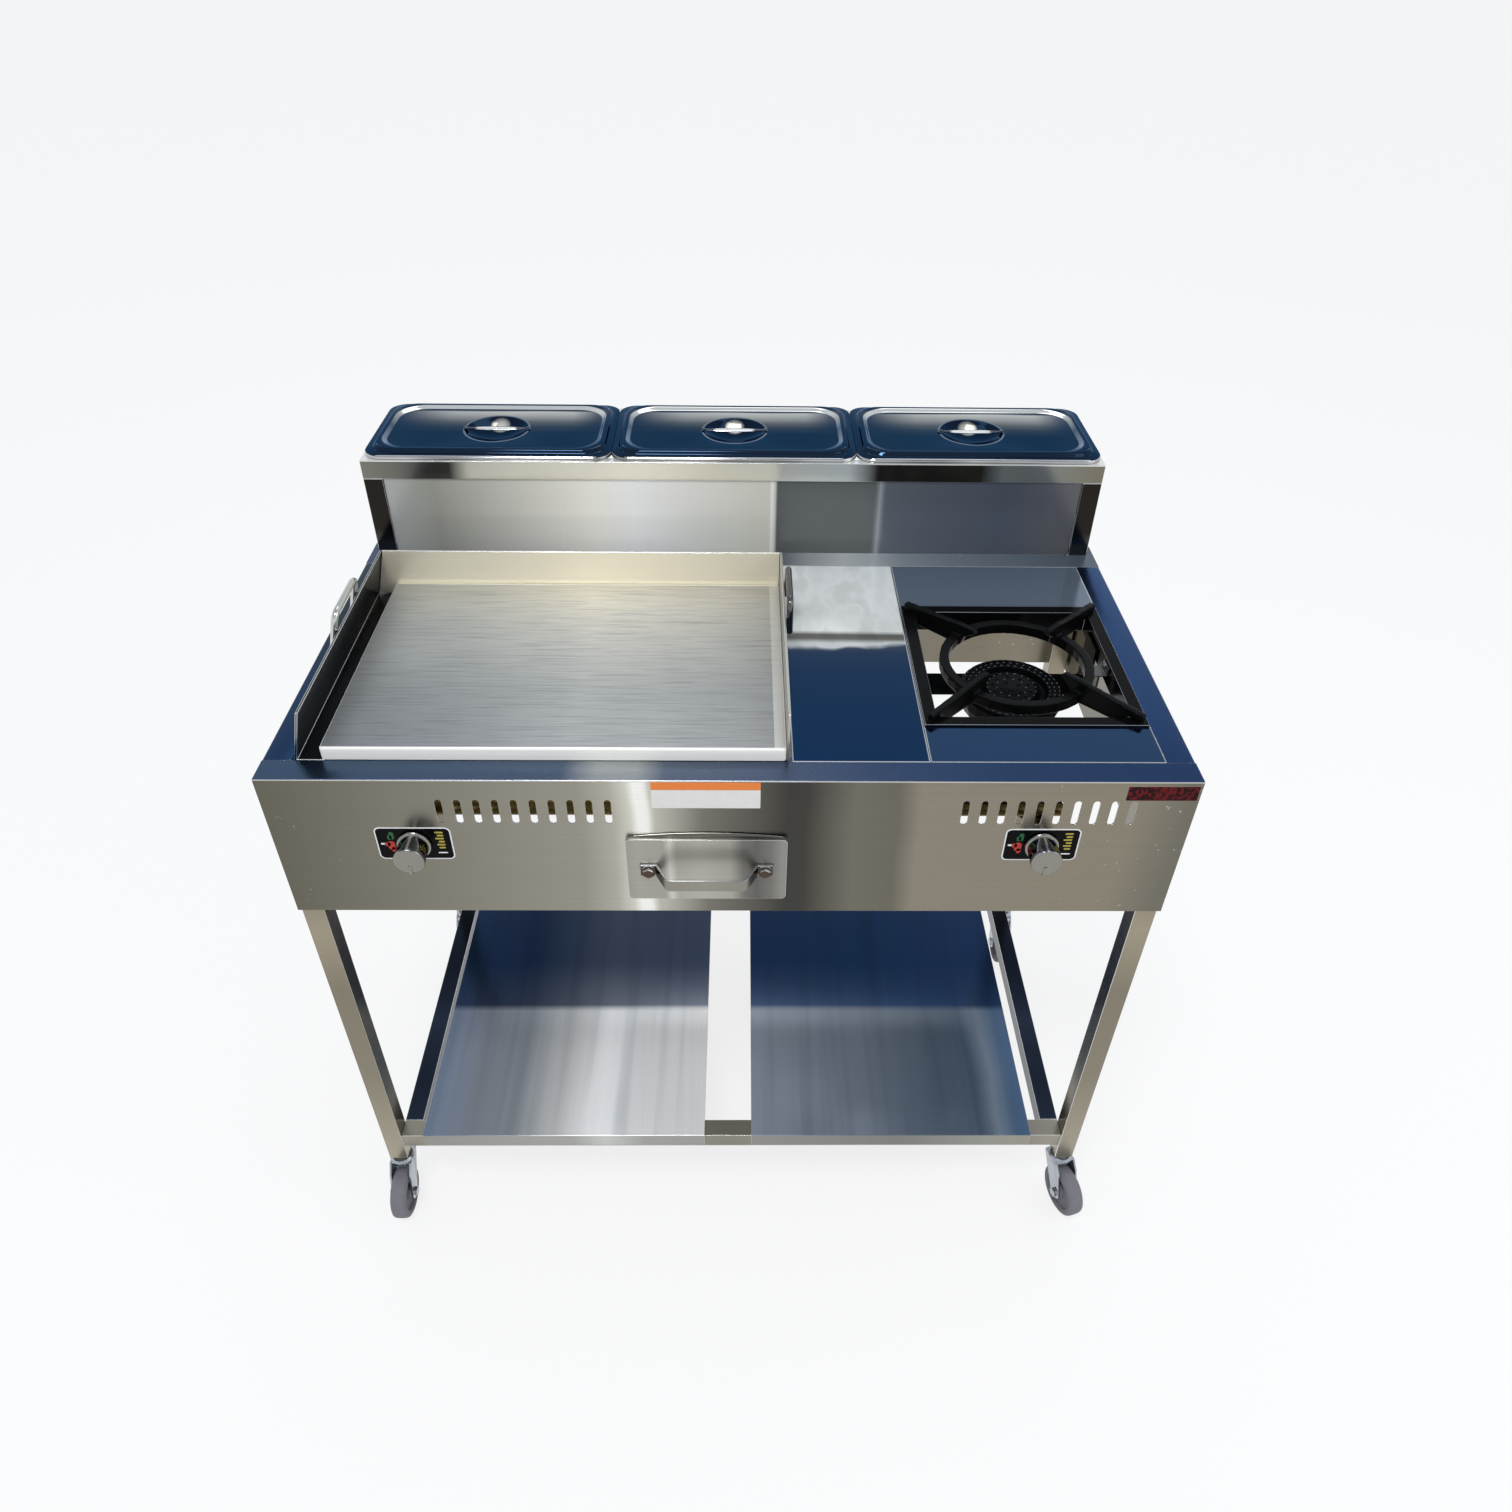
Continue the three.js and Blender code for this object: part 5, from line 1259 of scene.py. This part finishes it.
class CART_OT_tray(bpy.types.Operator):
    """Finishes the drip tray, its front and its bolted strap handle"""

    bl_idname = "cart.tray"
    bl_label = "Drip tray"

    def execute(self, context):
        edge = context.scene.cart_sizes.sheet_edge
        softened("drip_tray", finish("tray_steel"), edge)
        softened("drip_tray_front", finish("tray_face_steel"), 0.8 * MM, 3, 40, "edge_highlight")
        softened("drip_tray_handle", finish("strap_steel"), 0.8 * MM, 3, 25, "dark_edge")
        self.bolts(context.scene.cart_sizes.bolt_head / 2)
        self.lip()
        return {"FINISHED"}

    def lip(self):
        """The tray front's top fold, which stands up a little in the middle."""
        lowest, highest = low("drip_tray_front"), high("drip_tray_front")
        half, rise = (highest.x - lowest.x) / 2 - 3 * MM, 5.4 * MM
        work = bmesh.new()
        bmesh.ops.create_grid(work, x_segments=24, y_segments=1, size=1)
        bmesh.ops.scale(work, verts=work.verts, vec=(half, 0.5, 1))
        for vert in work.verts:
            bow = 1 - (vert.co.x / half) ** 2
            top = vert.co.y > 0
            vert.co = Vector((vert.co.x, highest.y - (0.9 if top else 1.9) * MM,
                              highest.z + ((0.8 + rise / MM * bow) * MM if top else -0.8 * MM)))
        move_all(work, ((lowest.x + highest.x) / 2, 0, 0))
        item = piece("drip_tray_lip", work, "tray", finish("lip_steel"), 40)
        thicken(item, 0.7 * MM, 0, False)

    def bolts(self, radius):
        lowest, highest = low("drip_tray_handle"), high("drip_tray_handle")
        inset = 9.5 * MM
        pad_y = highest.y - 3 * MM
        middle_z = (lowest.z + highest.z) / 2
        work = bmesh.new()
        for x in (lowest.x + inset, highest.x - inset):
            made = spun(work, [(0, 0), (8.4, 0), (8.4, 0.9), (7.9, 1.3), (0, 1.3)], 36)
            head = bmesh.ops.create_cone(work, cap_ends=True, segments=6, radius1=radius, radius2=radius,
                                         depth=4.6 * MM)["verts"]
            bmesh.ops.translate(work, verts=head, vec=(0, 0, 3.5 * MM))
            top = [edge for vert in head for edge in vert.link_edges
                   if all(v.co.z > 5 * MM for v in edge.verts)]
            chamfer = rounded(work, list(set(top)), 0.9 * MM, 2)
            every = [vert for vert in set(made + head + chamfer) if vert.is_valid]
            face_front(work, x, pad_y, middle_z, every)
        piece("tray_handle_bolts", work, "tray", finish("bolt_steel"), 30)


class CART_OT_small_parts(bpy.types.Operator):
    """Adds the blank label, the plain strip and the weld beads"""

    bl_idname = "cart.small_parts"
    bl_label = "Small parts"

    def execute(self, context):
        self.sheet_label("blank_label_band", "label_orange", (-85, 31), (-12.5, -2.0), 0.14)
        self.sheet_label("blank_label_field", "label_white", (-85, 31), (-38, -12.7), 0.14)
        self.sheet_label("blank_strip", "strip_red", (421, 497), (-25.5, -6.5), 0.3)
        self.welds()
        return {"FINISHED"}

    def sheet_label(self, name, key, span_x, span_z, thickness):
        """A thin field on the front apron, in millimetres from the middle of its top edge."""
        middle, face, table = centre("front_apron").x, low("front_apron").y, high("front_apron").z
        work = bmesh.new()
        half_x, half_z = (span_x[1] - span_x[0]) / 2, (span_z[1] - span_z[0]) / 2
        loops = [round_loop(work, half_x * MM, half_z * MM, 0.8 * MM, z * MM, 3) for z in (0.02, thickness)]
        stack(work, loops, True, True)
        face_front(work, middle + sum(span_x) / 2 * MM, face, table + sum(span_z) / 2 * MM)
        piece(name, work, "cart", finish(key), 30)

    def welds(self):
        """Rows of overlapping weld ripples where the rails meet the legs and the posts meet the rim."""
        work = bmesh.new()
        for side in (-1, 1):
            name = "left" if side < 0 else "right"
            for front in (True, False):
                rail = "lower_rail_front" if front else "lower_rail_rear"
                x = low(rail).x if side < 0 else high(rail).x
                face = low(rail).y if front else high(rail).y
                out = -1 if front else 1
                for k in range(9):
                    z = low(rail).z + (1.5 + k * 2.8) * MM
                    self.ripple(work, (x, face + out * 0.1 * MM, z))
            post = f"rear_post_{name}"
            inner = high(post).x if side < 0 else low(post).x
            for k in range(9):
                y = low(post).y + (1.5 + k * 2.8) * MM
                self.ripple(work, (inner, y, low(post).z))
        piece("weld_ripples", work, "cart", finish("weld"), 60)

    def ripple(self, work, place):
        made = bmesh.ops.create_icosphere(work, subdivisions=1, radius=1.9 * MM)["verts"]
        bmesh.ops.scale(work, verts=made, vec=(1.0, 0.8, 1.0))
        bmesh.ops.translate(work, verts=made, vec=place)


# Stage

FLOOR_GLOW = 0.78
CAMERA_OFFSET = Vector((0.01002, -0.89099, 0.75696))
CAMERA_TURNS = (1.0013, 39.0536, -0.8197)


def look_from(place, yaw, pitch, roll):
    """The camera's matrix from its place and its turns in degrees."""
    yaw, pitch, roll = (math.radians(angle) for angle in (yaw, pitch, roll))
    forward = Vector((math.sin(yaw) * math.cos(pitch), math.cos(yaw) * math.cos(pitch), -math.sin(pitch)))
    right = Vector((math.cos(yaw), -math.sin(yaw), 0))
    down = forward.cross(right)
    turned_right = right * math.cos(roll) + down * math.sin(roll)
    turned_down = down * math.cos(roll) - right * math.sin(roll)
    turn = Matrix((turned_right, -turned_down, -forward)).transposed()
    return Matrix.Translation(place) @ turn.to_4x4()


class CART_OT_stage(bpy.types.Operator):
    """Makes the floor, the light and the camera"""

    bl_idname = "cart.stage"
    bl_label = "Stage"

    def execute(self, context):
        scene = context.scene
        settings = scene.cart_stage
        scene.view_settings.view_transform = "Standard"
        self.floor()
        self.world(scene, settings.level)
        self.lamp("lamp_key", (-0.6, -1.85, 4.2), 0.9, 60)
        self.lamp("lamp_fill", (2.2, -0.9, 2.4), 2.0, 14)
        self.lamp("lamp_rear", (0.3, 1.9, 4.2), 1.8, 14)
        lens = bpy.data.cameras.new("camera")
        lens.lens = settings.lens
        lens.sensor_width = 36
        lens.clip_start = 0.02
        camera = bpy.data.objects.new("camera", lens)
        node = "front_apron"
        place = Vector((centre(node).x, low(node).y, high(node).z)) + CAMERA_OFFSET
        camera.matrix_world = look_from(place, *CAMERA_TURNS)
        scene.collection.objects.link(camera)
        scene.camera = camera
        return {"FINISHED"}

    def floor(self):
        mesh = bpy.data.meshes.new("floor")
        grid = bmesh.new()
        bmesh.ops.create_grid(grid, x_segments=1, y_segments=1, size=30)
        bmesh.ops.translate(grid, verts=grid.verts, vec=(0, 0, -0.0005))
        grid.to_mesh(mesh)
        grid.free()
        floor = bpy.data.objects.new("floor", mesh)
        bpy.context.scene.collection.objects.link(floor)
        tree = Tree("floor_paper")
        diffuse = tree.add("ShaderNodeBsdfDiffuse")
        diffuse.inputs["Color"].default_value = (0.86, 0.86, 0.86, 1)
        glow = tree.add("ShaderNodeEmission")
        glow.inputs["Color"].default_value = (1, 1, 1, 1)
        glow.inputs["Strength"].default_value = 1.0
        ray = tree.add("ShaderNodeLightPath").outputs
        seen = tree.count("MAXIMUM", ray["Is Camera Ray"], ray["Is Glossy Ray"])
        seen = tree.count("MAXIMUM", seen, ray["Is Transmission Ray"])
        blend = tree.add("ShaderNodeMixShader")
        tree.link(tree.count("MULTIPLY", seen, FLOOR_GLOW), blend.inputs[0])
        tree.link(diffuse.outputs[0], blend.inputs[1])
        tree.link(glow.outputs[0], blend.inputs[2])
        output = tree.add("ShaderNodeOutputMaterial")
        tree.link(blend.outputs[0], output.inputs["Surface"])
        mesh.materials.append(tree.holder)

    def world(self, scene, level):
        """Pale all round, a little darker overhead."""
        tree = Tree("surroundings", use_world=True)
        direction = tree.add("ShaderNodeTexCoord")
        parts = tree.add("ShaderNodeSeparateXYZ")
        tree.link(direction.outputs["Generated"], parts.inputs[0])
        sky = tree.ramp(parts.outputs["Z"], [
            (0.0, 1.0), (0.18, (0.95, 0.96, 0.98)), (0.6, (0.62, 0.66, 0.72)), (1.0, (0.5, 0.55, 0.62)),
        ])
        glow = tree.add("ShaderNodeBackground")
        glow.inputs["Strength"].default_value = level
        tree.link(sky, glow.inputs["Color"])
        output = tree.add("ShaderNodeOutputWorld")
        tree.link(glow.outputs[0], output.inputs["Surface"])
        scene.world = tree.holder

    def lamp(self, name, place, size, power):
        light = bpy.data.lights.new(name, "AREA")
        light.size = size
        light.energy = power
        item = bpy.data.objects.new(name, light)
        item.location = place
        aim = Vector((0, 0, 0.7)) - item.location
        item.rotation_euler = aim.to_track_quat("-Z", "Y").to_euler()
        bpy.context.scene.collection.objects.link(item)


class CART_PT_panel(bpy.types.Panel):
    bl_label = "Catering cart"
    bl_space_type = "VIEW_3D"
    bl_region_type = "UI"
    bl_category = "Cart"

    def draw(self, context):
        column = self.layout.column()
        for operator in OPERATORS:
            column.operator(operator.bl_idname)
        for group in (context.scene.cart_finish, context.scene.cart_sizes, context.scene.cart_stage):
            for name in group.__annotations__:
                column.prop(group, name)


OPERATORS = (CART_OT_sheets, CART_OT_griddle, CART_OT_burner, CART_OT_controls, CART_OT_pans, CART_OT_casters,
             CART_OT_tray, CART_OT_small_parts, CART_OT_stage)
CLASSES = (CartFinish, CartSizes, CartStage, *OPERATORS, CART_PT_panel)


def register():
    for item in CLASSES:
        bpy.utils.register_class(item)
    bpy.types.Scene.cart_finish = bpy.props.PointerProperty(type=CartFinish)
    bpy.types.Scene.cart_sizes = bpy.props.PointerProperty(type=CartSizes)
    bpy.types.Scene.cart_stage = bpy.props.PointerProperty(type=CartStage)


def unregister():
    del bpy.types.Scene.cart_stage
    del bpy.types.Scene.cart_sizes
    del bpy.types.Scene.cart_finish
    for item in reversed(CLASSES):
        bpy.utils.unregister_class(item)


def main():
    register()
    for operator in OPERATORS:
        group, name = operator.bl_idname.split(".")
        getattr(getattr(bpy.ops, group), name)()


if __name__ == "__main__":
    main()
